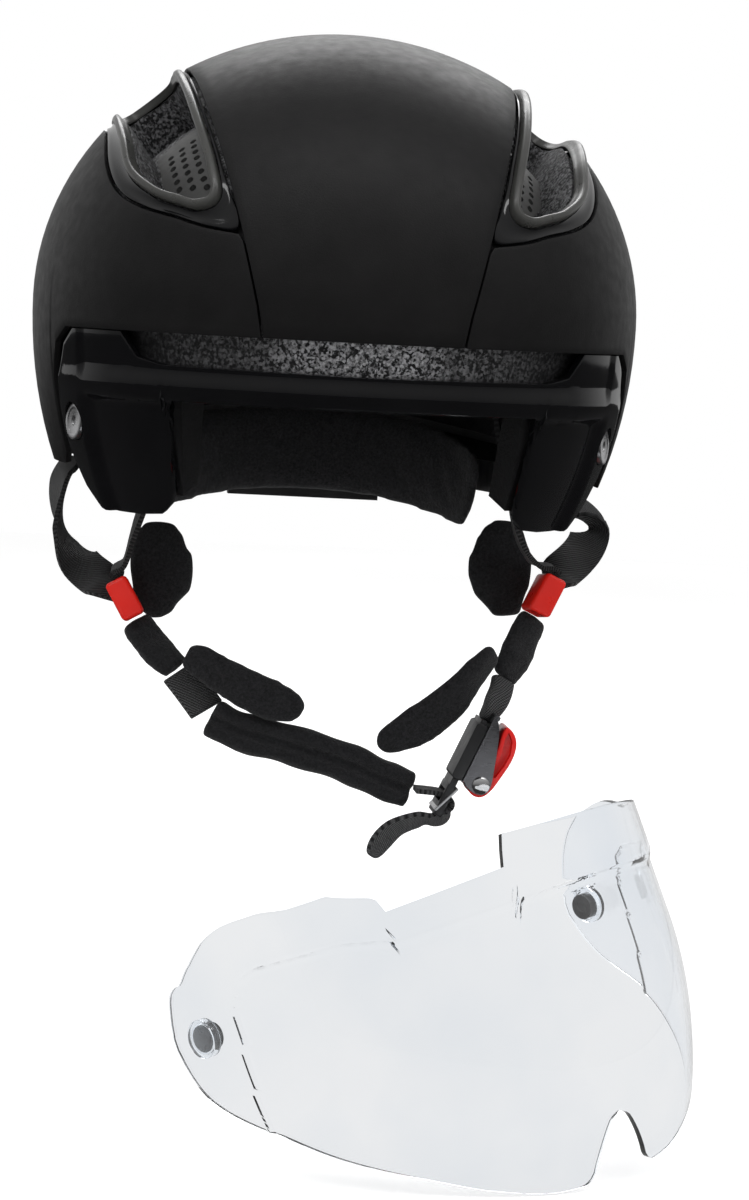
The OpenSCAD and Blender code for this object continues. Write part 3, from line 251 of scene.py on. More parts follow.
def closedPiece(name, around, along, place, size=None):
    # A grid rolled into a closed form; its first and last rings shrink to a point
    piece = gridPiece(name, around, along, place, size)
    inEdit(piece, lambda: bpy.ops.mesh.remove_doubles(threshold=0.00002), faceOut)
    return piece


def ringPiece(name, around, across, place):
    # A primitive torus whose sections are moved along a loop
    piece = added(name, bpy.ops.mesh.primitive_torus_add, major_segments=around, minor_segments=across,
                  major_radius=1.0, minor_radius=0.25)
    for vertex in piece.data.vertices:
        x, y, z = vertex.co
        u = (math.atan2(y, x) / (2 * math.pi)) % 1.0
        v = (math.atan2(z, math.hypot(x, y) - 1.0) / (2 * math.pi)) % 1.0
        vertex.co = place(round(u * around) / around % 1.0, round(v * across) / across % 1.0)
    piece.data.update()
    evenNormals(piece)
    return piece


def plateFrom(name, outline, low, high, rounding, place, segments=3):
    # An outline in a plane, extruded to its thickness and bevelled; place maps (a, b, h) to the helmet
    piece = added(name, bpy.ops.mesh.primitive_circle_add, vertices=len(outline), radius=1.0, fill_type="NGON")
    for vertex, spot in zip(piece.data.vertices, outline):
        vertex.co = (spot[0], spot[1], low)
    rise = {"value": (0, 0, high - low)}
    inEdit(piece, lambda: bpy.ops.mesh.extrude_region_move(TRANSFORM_OT_translate=rise), pickAll, faceOut)
    if rounding:
        roundEdges(piece, rounding, segments, 40)
    for vertex in piece.data.vertices:
        vertex.co = place(*vertex.co)
    evenNormals(piece)
    return piece


def turned(name, spot, axis, profile, rounding=0.0):
    # A body turned round an axis, from (radius, height) pairs that start and end at radius 0
    across = axis.orthogonal().normalized()
    over = axis.cross(across)
    steps = len(profile) - 1

    def place(u, v):
        radius, height = profile[round(v * steps)]
        a = 2 * math.pi * u
        return spot + axis * height + (across * math.cos(a) + over * math.sin(a)) * radius

    piece = closedPiece(name, turnedSides, steps, place)
    if rounding:
        roundEdges(piece, rounding)
    smooth(piece, 40)
    return piece


def rodAt(name, spot, axis, radius, length):
    # A rod along an axis through a spot
    turn = Vector((0, 0, 1)).rotation_difference(axis).to_euler()
    rod = added(name, bpy.ops.mesh.primitive_cylinder_add, vertices=rodSides, radius=radius,
                depth=length, location=spot, rotation=turn)
    bpy.ops.object.transform_apply(location=True, rotation=True, scale=True)
    return rod


def softCorners(points, radius, steps=4):
    # An outline whose corners are drawn round
    out = []
    m = len(points)
    for k in range(m):
        a, b, c = (Vector(points[(k + j - 1) % m]) for j in range(3))
        start = b + (a - b) * min(0.48, radius / (a - b).length)
        end = b + (c - b) * min(0.48, radius / (c - b).length)
        for j in range(steps + 1):
            f = j / steps
            out.append(tuple(start.lerp(b, f).lerp(b.lerp(end, f), f)))
    return out


def boxOutline(u0, u1, v0, v1):
    return [(u0, v0), (u1, v0), (u1, v1), (u0, v1)]


def joined(pieces):
    deselectAll()
    for piece in pieces:
        piece.select_set(True)
    bpy.context.view_layer.objects.active = pieces[0]
    bpy.ops.object.join()
    return pieces[0]


def combine(piece, other, operation="DIFFERENCE"):
    modify(piece, "BOOLEAN", operation=operation, object=other, solver="EXACT")
    bpy.data.objects.remove(other, do_unlink=True)


def settle(piece, body, slot, *nodes, finish=None):
    # Gives a finished piece its finish, its body and the CAD nodes that it stands for
    piece.data.materials.clear()
    piece.data.materials.append(finishOf[finish or slot])
    if nodes:
        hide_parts(*nodes)
    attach(piece, body)


def settlePair(piece, slot, node):
    # A left piece and its mirror image
    takeUp(piece)
    bpy.ops.object.duplicate()
    twin = bpy.context.object
    twin.name = piece.name.replace("Left", "Right")
    twin.scale.x = -1
    bpy.ops.object.transform_apply(location=False, rotation=False, scale=True)
    evenNormals(twin)
    settle(piece, "helmet", slot, node + "_left")
    settle(twin, "helmet", slot, node + "_right")


# Materials
def feed(tree, socket, value):
    # An input takes a value, or the output that drives it
    if isinstance(value, bpy.types.NodeSocket):
        tree.links.new(value, socket)
    else:
        socket.default_value = value


def wire(tree, node, **settings):
    # Each setting names an input of the node, or else a property
    for key, value in settings.items():
        title = key.replace("_", " ")
        if title in node.inputs:
            feed(tree, node.inputs[title], value)
        else:
            setattr(node, key, value)
    return node


def newMaterial(name, **sockets):
    material = bpy.data.materials.new(name)
    material.use_nodes = True
    tree = material.node_tree
    return material, tree, wire(tree, tree.nodes["Principled BSDF"], **sockets)


def addNode(tree, kind, **settings):
    return wire(tree, tree.nodes.new("ShaderNode" + kind), **settings)


def reckon(tree, operation, *terms):
    node = addNode(tree, "Math", operation=operation)
    for socket, term in zip(node.inputs, terms):
        feed(tree, socket, term)
    return node.outputs[0]


def blend(tree, factor, a, b, **kinds):
    return addNode(tree, "Mix", **kinds, Factor=factor, A=a, B=b).outputs["Result"]


def times(tree, a, b, share=1.0):
    return blend(tree, share, a, b, data_type="RGBA", blend_type="MULTIPLY")


def spread(tree, value, low, high, toLow=0.0, toHigh=1.0):
    node = addNode(tree, "MapRange", Value=value, From_Min=low, From_Max=high, To_Min=toLow, To_Max=toHigh)
    return node.outputs["Result"]


def coordinates(tree, output="Object", **mapping):
    source = addNode(tree, "TexCoord").outputs[output]
    return addNode(tree, "Mapping", Vector=source, **mapping).outputs["Vector"] if mapping else source


def noise(tree, vector, scale, detail=3.0, rough=0.5):
    node = addNode(tree, "TexNoise", Vector=vector, Scale=scale, Detail=detail, Roughness=rough)
    return node.outputs["Fac"]


def ramp(tree, factor, *stops):
    # Stops are (place, colour), where a single number is a gray
    node = addNode(tree, "ValToRGB", Fac=factor)
    elements = node.color_ramp.elements
    while len(elements) < len(stops):
        elements.new(0.5)
    for element, (spot, colour) in zip(elements, stops):
        element.position = spot
        element.color = (*colour, 1.0) if isinstance(colour, tuple) else (colour, colour, colour, 1.0)
    return node.outputs["Color"]


def bump(tree, shader, height, distance, strength=1.0, under=None):
    node = addNode(tree, "Bump", Height=height, Distance=distance, Strength=strength)
    if under is not None:
        wire(tree, node, Normal=under)
    wire(tree, shader, Normal=node.outputs["Normal"])
    return node.outputs["Normal"]


def mouldedPlastic(name, dark, light, roughLow, roughHigh, grain, grainDepth, waviness=0.0, **sockets):
    # Moulded or painted plastic: a slight change of tone, uneven polish, and a fine grain
    material, tree, shader = newMaterial(name, **sockets)
    place = coordinates(tree)
    wire(tree, shader, Base_Color=ramp(tree, noise(tree, place, 60, 4), (0.3, dark), (0.7, light)),
         Roughness=ramp(tree, noise(tree, place, 220, 5), (0.3, roughLow), (0.75, roughHigh)))
    first = bump(tree, shader, noise(tree, place, grain, 2), grainDepth)
    if waviness:
        bump(tree, shader, noise(tree, place, 45, 1), waviness, 1.0, first)
    return material


def brushedMetal(name, tone, rough):
    material, tree, shader = newMaterial(name, Metallic=1.0)
    streaks = noise(tree, coordinates(tree, Scale=(1, 1, 30)), 160, 4)
    wire(tree, shader, Base_Color=ramp(tree, streaks, (0.3, tuple(c * 0.85 for c in tone)), (0.7, tone)),
         Roughness=ramp(tree, streaks, (0.25, rough * 0.8), (0.75, rough * 1.25)))
    bump(tree, shader, streaks, 0.00003, 0.5)
    return material


def foamBeads(name):
    # Moulded foam: a dark crumpled skin whose facets show as silver only where light is painted on, in the
    # middle of the front slot and in the vents; the slot's ends and all other foam keep the dark skin as
    # painted shade
    material, tree, shader = newMaterial(name)
    place = coordinates(tree)
    facets = addNode(tree, "TexVoronoi", Vector=place, Scale=1100.0).outputs["Color"]
    both = reckon(tree, "MULTIPLY_ADD", ramp(tree, facets, (0.2, 0.0), (0.9, 1.0)), 0.35,
                  noise(tree, place, 640, 5, 0.72))
    spot = addNode(tree, "SeparateXYZ", Vector=place)
    reach = 150  # millimetres to each side

    def fall(axis, *stops):
        # A share that changes along an axis, from stops in millimetres
        scaled = spread(tree, spot.outputs[axis], -reach / 1000, reach / 1000)
        return ramp(tree, scaled, *[((at + reach) / (2 * reach), share) for at, share in stops])

    # Painted light and shade in the front slot: lit in its middle, falling off to painted shade towards both
    # ends
    slotLitShare = times(tree, fall("Z", (13, 0.0), (15, 1.0), (30, 1.0), (32, 0.0)),
                   fall("X", (-80, 0.0), (-60, 0.12), (-36, 0.22), (-20, 0.8), (0, 1.0), (18, 1.0), (32, 0.35),
                        (60, 0.12), (80, 0.0)))
    # Painted light in the vents: the foam that light falls on there, at less than half the slot's strength
    ventLitShare = times(tree, fall("Z", (66, 0.0), (76, 0.45)),
                    fall("X", (-92, 0.0), (-83, 1.0), (83, 1.0), (92, 0.0)))
    # Silver facets are drawn only where these painted-light shares say the foam is lit
    paintedLitFacets = times(tree, ramp(tree, both, (0.56, 0.0), (0.86, 1.0)), reckon(tree, "MAXIMUM", slotLitShare, ventLitShare))
    wire(tree, shader, Base_Color=ramp(tree, paintedLitFacets, (0.0, (0.010, 0.010, 0.011)), (1.0, (0.62, 0.62, 0.64))),
         Metallic=ramp(tree, paintedLitFacets, (0.0, 0.0), (1.0, 0.35)),
         Roughness=ramp(tree, paintedLitFacets, (0.0, 0.7), (1.0, 0.34)))
    bump(tree, shader, both, 0.0010, 0.8)
    return material


def fleece(name, dark, light):
    # Brushed fleece: short tangled fibres over soft lumps
    material, tree, shader = newMaterial(name, Sheen_Weight=0.12, Sheen_Roughness=0.5, Specular_IOR_Level=0.2)
    place = coordinates(tree)
    fibres, lumps = noise(tree, place, 1100, 6, 0.75), noise(tree, place, 190, 3)
    wire(tree, shader, Base_Color=ramp(tree, fibres, (0.35, dark), (0.68, light)),
         Roughness=ramp(tree, lumps, (0.3, 0.85), (0.7, 1.0)))
    bump(tree, shader, fibres, 0.0005, 0.9, bump(tree, shader, lumps, 0.0009, 0.7))
    return material


def wovenTape(name, dark, light, turn, pitch, ribPitch=0.0):
    # Webbing: a woven line pattern in the strap's own UV, in metres, with loose fibres over it
    material, tree, shader = newMaterial(name, Sheen_Weight=0.15, Specular_IOR_Level=0.3)
    waveScale = 0.314
    laid = coordinates(tree, "UV", Rotation=(0, 0, math.radians(turn)))
    lines = addNode(tree, "TexWave", Vector=laid, Scale=waveScale / pitch, Distortion=0.6, Detail=1.0,
                    Detail_Scale=2.0).outputs["Fac"]
    fibres = noise(tree, coordinates(tree), 1500, 4, 0.7)
    wire(tree, shader, Base_Color=times(tree, ramp(tree, lines, (0.15, dark), (0.85, light)),
                                        ramp(tree, fibres, (0.3, 0.45), (0.7, 1.0)), 0.7),
         Roughness=ramp(tree, fibres, (0.3, 0.62), (0.7, 0.85)))
    under = None
    if ribPitch:
        ribs = addNode(tree, "TexWave", Vector=coordinates(tree, "UV"), Scale=waveScale / ribPitch,
                       bands_direction="Y")
        under = bump(tree, shader, ribs.outputs["Fac"], 0.0004, 0.8)
    bump(tree, shader, lines, 0.0004, 0.8, under)
    return material


def clearPlastic(name):
    # Clear polycarbonate with the faint unevenness of a moulded sheet; its pale and darker mottled tint is also
    # a painted reflection, standing in for the streaks that the lens mirrors
    material, tree, shader = newMaterial(name, Transmission_Weight=1.0, IOR=1.45, Roughness=0.0)
    place = coordinates(tree)
    # Mottled tint: partly the sheet's own unevenness, partly painted reflection streaks
    tintAndPaintedStreaks = ramp(tree, noise(tree, place, 16, 3), (0.38, (0.90, 0.93, 0.965)), (0.62, (0.965, 0.98, 0.998)))
    wire(tree, shader, Base_Color=tintAndPaintedStreaks)
    bump(tree, shader, noise(tree, place, 30, 0), 0.0002, 0.3)
    return material


finishOf = {
    "shell_black": mouldedPlastic("shellBlack", (0.0065, 0.0063, 0.0066), (0.009, 0.0087, 0.009), 0.42, 0.52,
                                  1800, 0.00005, Specular_IOR_Level=0.22),
    "gloss_black": mouldedPlastic("glossBlack", (0.0025, 0.0025, 0.003), (0.0035, 0.0035, 0.004), 0.05, 0.10,
                                  900, 0.000004, 0.0001),
    "satin_gray": mouldedPlastic("satinGray", (0.036, 0.036, 0.034), (0.050, 0.050, 0.047), 0.26, 0.36, 1500,
                                 0.00002),
    "grille_gray": mouldedPlastic("grilleGray", (0.050, 0.050, 0.049), (0.070, 0.070, 0.068), 0.42, 0.55,
                                  1200, 0.00004),
    "nylon_black": mouldedPlastic("nylonBlack", (0.012, 0.012, 0.013), (0.02, 0.02, 0.021), 0.35, 0.5, 1100,
                                  0.00006),
    "magnet_black": mouldedPlastic("magnetBlack", (0.012, 0.012, 0.013), (0.025, 0.025, 0.027), 0.25, 0.4,
                                   700, 0.00004),
    "divider_red": mouldedPlastic("dividerRed", (0.68, 0.010, 0.004), (0.78, 0.016, 0.007), 0.26, 0.40, 900,
                                  0.00004),
    "lever_red": mouldedPlastic("leverRed", (0.70, 0.010, 0.008), (0.80, 0.018, 0.014), 0.16, 0.28, 900,
                                0.00002),
    "steel": brushedMetal("steel", (0.62, 0.62, 0.63), 0.30),
    "buckle_steel": brushedMetal("buckleSteel", (0.20, 0.20, 0.21), 0.30),
    "chrome": brushedMetal("chrome", (0.85, 0.85, 0.86), 0.08),
    "foam": foamBeads("foamDark"),
    "pad_fabric": fleece("padFleece", (0.004, 0.004, 0.0045), (0.024, 0.024, 0.026)),
    "webbing": wovenTape("strapWeave", (0.006, 0.006, 0.0065), (0.020, 0.020, 0.021), 32, 0.0008),
    "ribbed_webbing": wovenTape("ribbedWeave", (0.010, 0.010, 0.011), (0.085, 0.085, 0.087), 38, 0.0010,
                                0.0007),
    "clear_visor": clearPlastic("clearVisor")}
print("materials made:", len(finishOf))

# The shell's form: half an ellipsoid in front, a longer half behind, a deeper skirt below
shellForm = {"halfWidth": 0.1115, "front": 0.130, "back": 0.145, "waist": 0.035, "crown": 0.102,
             "skirt": 0.140, "wall": 0.0022, "gap": 0.0007, "edge": 0.0255}
shellMiddle = (0, 0, 0.03)
sides = (("left", 1), ("right", -1))


def depthOf(form, ahead):
    return form["front" if ahead else "back"]


def wallPoint(t, e, off=0.0):
    # On the shell: t degrees round from the front, e degrees up from the waist, off outwards
    rise = shellForm["crown" if e > 0 else "skirt"]
    return Vector(((shellForm["halfWidth"] + off) * cosD(e) * sinD(t),
                   -(depthOf(shellForm, abs(t) < 90) + off) * cosD(e) * cosD(t),
                   shellForm["waist"] + (rise + off) * sinD(e)))


def climb(z):
    lift = z - shellForm["waist"]
    return math.degrees(math.asin(max(-1, min(1, lift / shellForm["crown" if lift > 0 else "skirt"]))))


def atHeight(t, z, off=0.0):
    return wallPoint(t, climb(z), off)


def onDome(x, y):
    inside = 1 - (x / shellForm["halfWidth"]) ** 2 - (y / depthOf(shellForm, y < 0)) ** 2
    return Vector((x, y, shellForm["waist"] + shellForm["crown"] * math.sqrt(max(0, inside))))


def domeNormal(p):
    return Vector((p[0] / shellForm["halfWidth"] ** 2, p[1] / depthOf(shellForm, p[1] < 0) ** 2,
                   (p[2] - shellForm["waist"]) / shellForm["crown"] ** 2)).normalized()


# Crown panel
crownPanel = {"frontWidth": 0.0365, "topWidth": 0.060, "backHeight": -0.010, "cols": 28, "rows": 84,
              "rounding": 0.0005}


def belowWaist(x, height):
    # The turn from the waist down to a height, in degrees
    drop = (shellForm["waist"] - height) / shellForm["skirt"]
    return math.degrees(math.asin(drop / math.sqrt(1 - (x / shellForm["halfWidth"]) ** 2)))


def crownTurn(x, f):
    # From the front edge at 0 over the top to the rear edge at 1
    return mix(-belowWaist(x, shellForm["edge"]), 180 + belowWaist(x, crownPanel["backHeight"]), f)


def crownPoint(x, f):
    q, a = math.degrees(math.asin(x / shellForm["halfWidth"])), crownTurn(x, f)
    rise = shellForm["crown" if 0 < a < 180 else "skirt"]
    return Vector((shellForm["halfWidth"] * sinD(q), -depthOf(shellForm, a < 90) * cosD(a) * cosD(q),
                   shellForm["waist"] + rise * sinD(a) * cosD(q)))


def seamX(f):
    front = crownPanel["frontWidth"]
    return front + (crownPanel["topWidth"] - front) * sinD(crownTurn(front, f))


crown = gridPiece("crownPanel", crownPanel["cols"], crownPanel["rows"],
                  lambda u, v: crownPoint((2 * u - 1) * (seamX(v) - shellForm["gap"] / 2), v))
thicken(crown, shellForm["wall"], crownPanel["rounding"], shellMiddle)
smooth(crown)
settle(crown, "helmet", "shell_black", "crown_panel")
print("crown panel done")

# Side shells: the upper edge follows the crown seam, the front vent and the rear vent
sideShell = {"rows": 22, "rounding": 0.0005, "bridge": 118, "sky": 0.2, "first": 18.4, "step": 0.9,
             "steps": 162, "edgeGap": 0.0003, "seamSteps": 240,
             "marks": [21.8, 115, 115.8, 119.6, 120.4, 64, 68.5, 70.5, 71.5, 74, 158.2, 164],
             "frontOpen": (21.8, 115.0), "rearOpen": (21.8, 59.6),
             "front": [(21.8, 60), (26.3, 61.1), (29.8, 61.9), (33.2, 63.1), (36.9, 64.8), (41.2, 66.3),
                       (45.6, 67.9), (50.1, 70.2), (54.5, 73.3), (58.7, 77.3), (63.2, 82.3), (68.6, 88.1),
                       (74.9, 93), (82.3, 96.2), (90, 97.7), (96.5, 97.9), (102.2, 98.4), (107, 100.9),
                       (110.8, 104.4), (113.5, 108.4), (114.8, 112.5)],
             "rear": [(21.8, 60), (26.3, 61.1), (29.8, 61.9), (33.2, 63.1), (36.9, 64.8), (41.2, 66),
                      (45.6, 67.9), (49.9, 72.4), (53.7, 77.4), (56.5, 82.9), (58.5, 88.4), (59.4, 93.8),
                      (59.5, 98.8)],
             "rim": [(0, 25.5), (64, 25.5), (68.5, 20), (70.5, 8), (71.5, -20), (74, -24), (111, -24),
                     (134, -26), (150, -22), (163, -13), (180, -10)]}
sideTurns = sorted(set([sideShell["first"] + sideShell["step"] * k for k in range(sideShell["steps"])]
                       + sideShell["marks"]))


def seamSpot(f):
    return crownPoint(seamX(f), f)


def turnOf(p):
    return math.degrees(math.atan2(p[0] / shellForm["halfWidth"], -p[1] / depthOf(shellForm, p[1] < 0)))


seamShares = [k / sideShell["seamSteps"] for k in range(sideShell["seamSteps"] + 1)]
seamShare = curveThrough([(turnOf(seamSpot(f)), f) for f in seamShares])
frontEdge, rearEdge = curveThrough(sideShell["front"]), curveThrough(sideShell["rear"])


def ventEdge(t):
    # The height of the vents' edge, or one far above the shell where there is none
    ahead = t < sideShell["bridge"]
    turn, edge = (t, frontEdge) if ahead else (180 - t, rearEdge)
    start, end = sideShell["frontOpen" if ahead else "rearOpen"]
    return edge(turn) * mm if start <= turn <= end else sideShell["sky"]


def sidePlace(u, v):
    t = sideTurns[round(u * (len(sideTurns) - 1))]
    f = seamShare(t)
    low = climb(straight(sideShell["rim"], t) * mm)
    high = climb(min(seamSpot(f)[2], ventEdge(t) - sideShell["edgeGap"]))
    turn = shellForm["gap"] / 2 / shellForm["halfWidth"] * perRadian * (1 - 2 * f)
    return wallPoint(t + turn, mix(low, high, v))


side = gridPiece("sideShellLeft", len(sideTurns) - 1, sideShell["rows"], sidePlace)
thicken(side, shellForm["wall"], sideShell["rounding"], shellMiddle)
smooth(side)
settlePair(side, "shell_black", "side_shell")
print("side shells done")

# Front vents: a satin rim round the hole, in a glossy bezel
vent = {"hole": [(52.8, -103), (54.6, -94.5), (57, -84), (59.2, -72), (61.2, -56), (62.8, -38), (63.9, -15),
                 (64, 8), (64.5, 26), (70, 33), (78, 31), (82.5, 18), (83.2, -5), (82.4, -28), (81, -50),
                 (78.6, -70), (70.8, -86.5), (61.2, -98), (55.8, -102.6)],
        "bezel": [(43.9, -114.1), (48, -104), (51.1, -92.5), (54.2, -77.5), (56.8, -58.5), (58.5, -38),
                  (59.8, -15), (59.9, 8), (59.6, 30), (66, 39.6), (76.5, 37.8), (85.5, 24), (88, 0),
                  (88.6, -28), (88.2, -52), (84.2, -70), (75.5, -86), (64, -99.5), (53.5, -108.8)],
        "around": 228, "cutSides": 76, "rimSides": 22, "bezelSides": 16, "bezelTop": 12, "rimWidth": 0.003,
        "rimHeight": 0.0024,
        "rimRoom": 0.0004, "rimFoot": 0.0004, "foamGap": 0.001, "nearby": 0.002}


def ventSpot(loop, u):
    x, y = onLoop(loop, u)
    return onDome(x * mm, y * mm)


def ventFrame(u):
    spot = ventSpot(vent["hole"], u)
    ahead = ventSpot(vent["hole"], u + vent["nearby"]) - ventSpot(vent["hole"], u - vent["nearby"])
    normal = domeNormal(spot)
    return spot, normal.cross(ahead.normalized()).normalized(), normal


def rimPlace(u, v):
    spot, out, normal = ventFrame(u)
    w, low = vent["rimWidth"], vent["rimFoot"] - shellForm["wall"] - vent["foamGap"]
    h = vent["rimHeight"] * mix(1, 0.15, ease((spot[1] / mm + 30) / 35))
    profile = [(0.85 * w, low), (w, -0.001), (w, 0.35 * h), (0.88 * w, 0.75 * h), (0.62 * w, 0.97 * h),
               (0.35 * w, h), (0.14 * w, 0.9 * h), (0.02 * w, 0.62 * h), (0, 0.2 * h), (0, low * 0.5), (0, low)]
    a, b = onLoop(profile, v)
    return spot + out * a + normal * b


def bezelPlace(u, v):
    spot, out, normal = ventFrame(u)
    edge = ventSpot(vent["bezel"], u)
    near = spot + out * (vent["rimWidth"] + vent["rimRoom"])
    far = edge + (spot - edge).normalized() * shellForm["gap"]
    wall, last = shellForm["wall"], vent["bezelTop"]
    # Over the top from the outer edge to the rim, and back underneath
    top = [(0, -wall), (0, -0.0012), (0.03, -0.0007), (0.1, -0.00055), (0.5, -0.0012), (0.85, -0.0010),
           (1, -0.0006), (1, -wall)]
    k = v * vent["bezelSides"]
    if k <= last:
        s = k / last * (len(top) - 1)
        i = min(int(s), len(top) - 2)
        f, h = (mix(a, b, s - i) for a, b in zip(top[i], top[i + 1]))
    else:
        f, h = mix(1, 0, (k - last) / (vent["bezelSides"] - last)), -wall
    flatSpot = far.lerp(near, f)
    return onDome(*flatSpot[:2]) + domeNormal(edge).lerp(normal, f).normalized() * h


rim = ringPiece("ventRimLeft", vent["around"], vent["rimSides"], rimPlace)
smooth(rim, 60)
settlePair(rim, "satin_gray", "vent_rim")
bezel = ringPiece("ventBezelLeft", vent["around"], vent["bezelSides"], bezelPlace)
smooth(bezel, 40)
settlePair(bezel, "gloss_black", "vent_bezel")


def surfaceAxes(spot, lead):
    # Middle, along, across and normal of the dome at a spot
    normal = domeNormal(spot)
    along = (lead - normal * normal.dot(lead)).normalized()
    return spot, along, normal.cross(along), normal


def onAxes(axes):
    return lambda a, b, h: axes[0] + axes[1] * a + axes[2] * b + axes[3] * h


def underDome(axes, a, b, off):
    # Where the line along the axes' normal meets the dome sunk by off
    p = axes[0] + axes[1] * a + axes[2] * b - Vector((0, 0, shellForm["waist"]))
    n = axes[3]
    half = [shellForm["halfWidth"] + off, shellForm["front"] + off, shellForm["crown"] + off]
    qa = sum((n[k] / half[k]) ** 2 for k in range(3))
    qb = sum(2 * n[k] * p[k] / half[k] ** 2 for k in range(3))
    qc = sum((p[k] / half[k]) ** 2 for k in range(3)) - 1
    reach = (math.sqrt(max(0, qb * qb - 4 * qa * qc)) - qb) / (2 * qa)
    return axes[0] + axes[1] * a + axes[2] * b + n * reach


def flatLoop(loop, axes, share):
    # The loop seen along the axes' normal, drawn in by a share of its size
    spots = [ventSpot(loop, k / vent["cutSides"]) - axes[0] for k in range(vent["cutSides"])]
    return [(spot.dot(axes[1]) * share, spot.dot(axes[2]) * share) for spot in spots]


def stadium(middle, length, width, steps=6):
    outline = []
    for turn in (-90, 90):
        end = (length - width) / 2 * (1 if turn < 0 else -1)
        outline += [(middle[0] + end + width / 2 * cosD(turn + 180 * k / steps),
                     middle[1] + width / 2 * sinD(turn + 180 * k / steps)) for k in range(steps + 1)]
    return outline


grille = {"share": 0.86, "middle": (0.027, 0.0005), "size": (0.062, 0.040), "depth": 0.0181, "wall": 0.0016,
          "start": (0.0075, 0.0052), "row": (0.0048, 0.0015), "column": (-0.0009, 0.0049), "rows": 7,
          "slot": (0.0033, 0.0024), "cut": (-0.06, 0.02, 0), "rounding": 0.0003,
          "mesh": (24, 16)}
ventAxes = surfaceAxes(onDome(0.070, -0.038), Vector((-0.12, -1, 0)))


def grillePlace(u, v):
    a = grille["middle"][0] + (u - 0.5) * grille["size"][0]
    b = grille["middle"][1] + (v - 0.5) * grille["size"][1]
    return underDome(ventAxes, a, b, -grille["depth"])


def slotCutter(c, r):
    middle = [grille["start"][k] + r * grille["row"][k] + c * grille["column"][k] for k in (0, 1)]
    return plateFrom("slot", stadium(middle, *grille["slot"]), *grille["cut"], onAxes(ventAxes))


plate = gridPiece("ventGrilleLeft", *grille["mesh"], grillePlace)
thicken(plate, grille["wall"], 0, shellMiddle)
combine(plate, plateFrom("edge", flatLoop(vent["hole"], ventAxes, grille["share"]), *grille["cut"],
                         onAxes(ventAxes)), "INTERSECT")
combine(plate, joined([slotCutter(c, r) for c in (-1, 0, 1) for r in range(grille["rows"] - c)]))
roundEdges(plate, grille["rounding"], 2)
smooth(plate, 30)
settlePair(plate, "grille_gray", "vent_grille")

# Rear vents: a dished cover with louvres, drawn as if in front and turned to the back
rearVent = {"hole": [(51.2, -104.5), (53, -98), (55.4, -90), (58.3, -78), (60.6, -67), (63, -60), (68, -56.5),
                     (74, -57.5), (77.6, -62), (77.6, -70), (71, -84), (61, -96.5), (54.2, -103.2)],
            "edge": [(43.9, -114.1), (47.9, -104.5), (50.7, -94), (53.8, -80), (56.2, -66), (58.6, -55),
                     (66, -50.5), (75, -51.5), (81, -58), (81.8, -70), (75.5, -86), (64, -99.5),
                     (53.5, -108.8)],
            "dish": [(0.86, 0.0004), (0.62, 0.0004), (0.42, 0.0006), (0.28, 0.0016), (0.12, 0.0032),
                     (-0.1, 0.0036), (-0.5, 0.0036), (-1, 0.0036), (-1.5, 0.0036), (-2, 0.0036)],
            "wall": 0.0018, "louvre": 0.0045, "pitch": 0.009, "first": -0.004, "reach": 0.03, "share": 0.7,
            "cut": (-0.025, 0.025, 0), "field": (-0.02, 0.02, 0), "rounding": 0.0004, "around": 104}
rearAxes = surfaceAxes(onDome(0.066, -0.078), Vector((-0.3, -0.9, 0)))


def rearPlace(u, v):
    f, dip = rearVent["dish"][round(v * (len(rearVent["dish"]) - 1))]
    hole, edge = ventSpot(rearVent["hole"], u), ventSpot(rearVent["edge"], u)
    flatSpot = hole.lerp(edge, f) if f > 0 else hole.lerp(rearAxes[0], -f / 2)
    spot = onDome(*flatSpot[:2])
    return spot - domeNormal(spot) * dip


def louvreCutter(k):
    middle, half = k * rearVent["pitch"] + rearVent["first"], rearVent["louvre"] / 2
    outline = boxOutline(middle - half, middle + half, -rearVent["reach"], rearVent["reach"])
    return plateFrom("louvre", outline, *rearVent["cut"], onAxes(rearAxes))


cover = closedPiece("rearVentCoverLeft", rearVent["around"], len(rearVent["dish"]) - 1, rearPlace)
thicken(cover, rearVent["wall"], 0, shellMiddle)
louvres = joined([louvreCutter(k) for k in (-1, 0, 1, 2)])
combine(louvres, plateFrom("field", flatLoop(rearVent["hole"], rearAxes, rearVent["share"]), *rearVent["field"],
                           onAxes(rearAxes)), "INTERSECT")
combine(cover, louvres)
roundEdges(cover, rearVent["rounding"], 2)
for vertex in cover.data.vertices:
    vertex.co.y *= -shellForm["back"] / shellForm["front"]
evenNormals(cover)
smooth(cover, 35)
settlePair(cover, "gloss_black", "rear_vent_cover")
print("vents done")

# Fascia: a brow band with a rolled lip, and a post at each temple
fascia = {"end": 69.4, "step": 0.9, "steps": 78, "corner": 60, "brow": 2, "lip": 6.5, "roll": 1.6,
          "recess": 0.004, "wall": 0.0025, "rounding": 0.0007, "rows": 46, "seatTurn": 64.5, "seatHeight": -8,
          "seatHole": 0.0068, "seatRounding": 0.0002,
          "seat": [(0, -0.005), (0.00325, -0.005), (0.00325, -0.002), (0.0065, -0.002), (0.0065, 0),
                   (0.0048, 0), (0.0046, -0.0003), (0.0018, -0.0003), (0.0016, -0.0010), (0, -0.0010)],
          "top": [(0, 13.5), (38, 14), (44, 16.5), (48, 24.9), (62, 24.9), (65.5, 19.5), (68.2, 8), (69.4, -2)],
          "low": [(0, 2), (36, 2), (37.5, -1), (39.5, -32), (41.5, -37), (44, -40), (51, -41), (58.5, -41),
                  (62.5, -38.5), (66, -31), (68.2, -20), (69.4, -12)]}
browTurns = [fascia["step"] * k for k in range(fascia["steps"])] + [p[0] for p in fascia["top"] + fascia["low"]]
browTurns = sorted(set(round(t, 3) for t in browTurns if t <= fascia["end"]))
browTurns = [-t for t in reversed(browTurns) if t] + browTurns


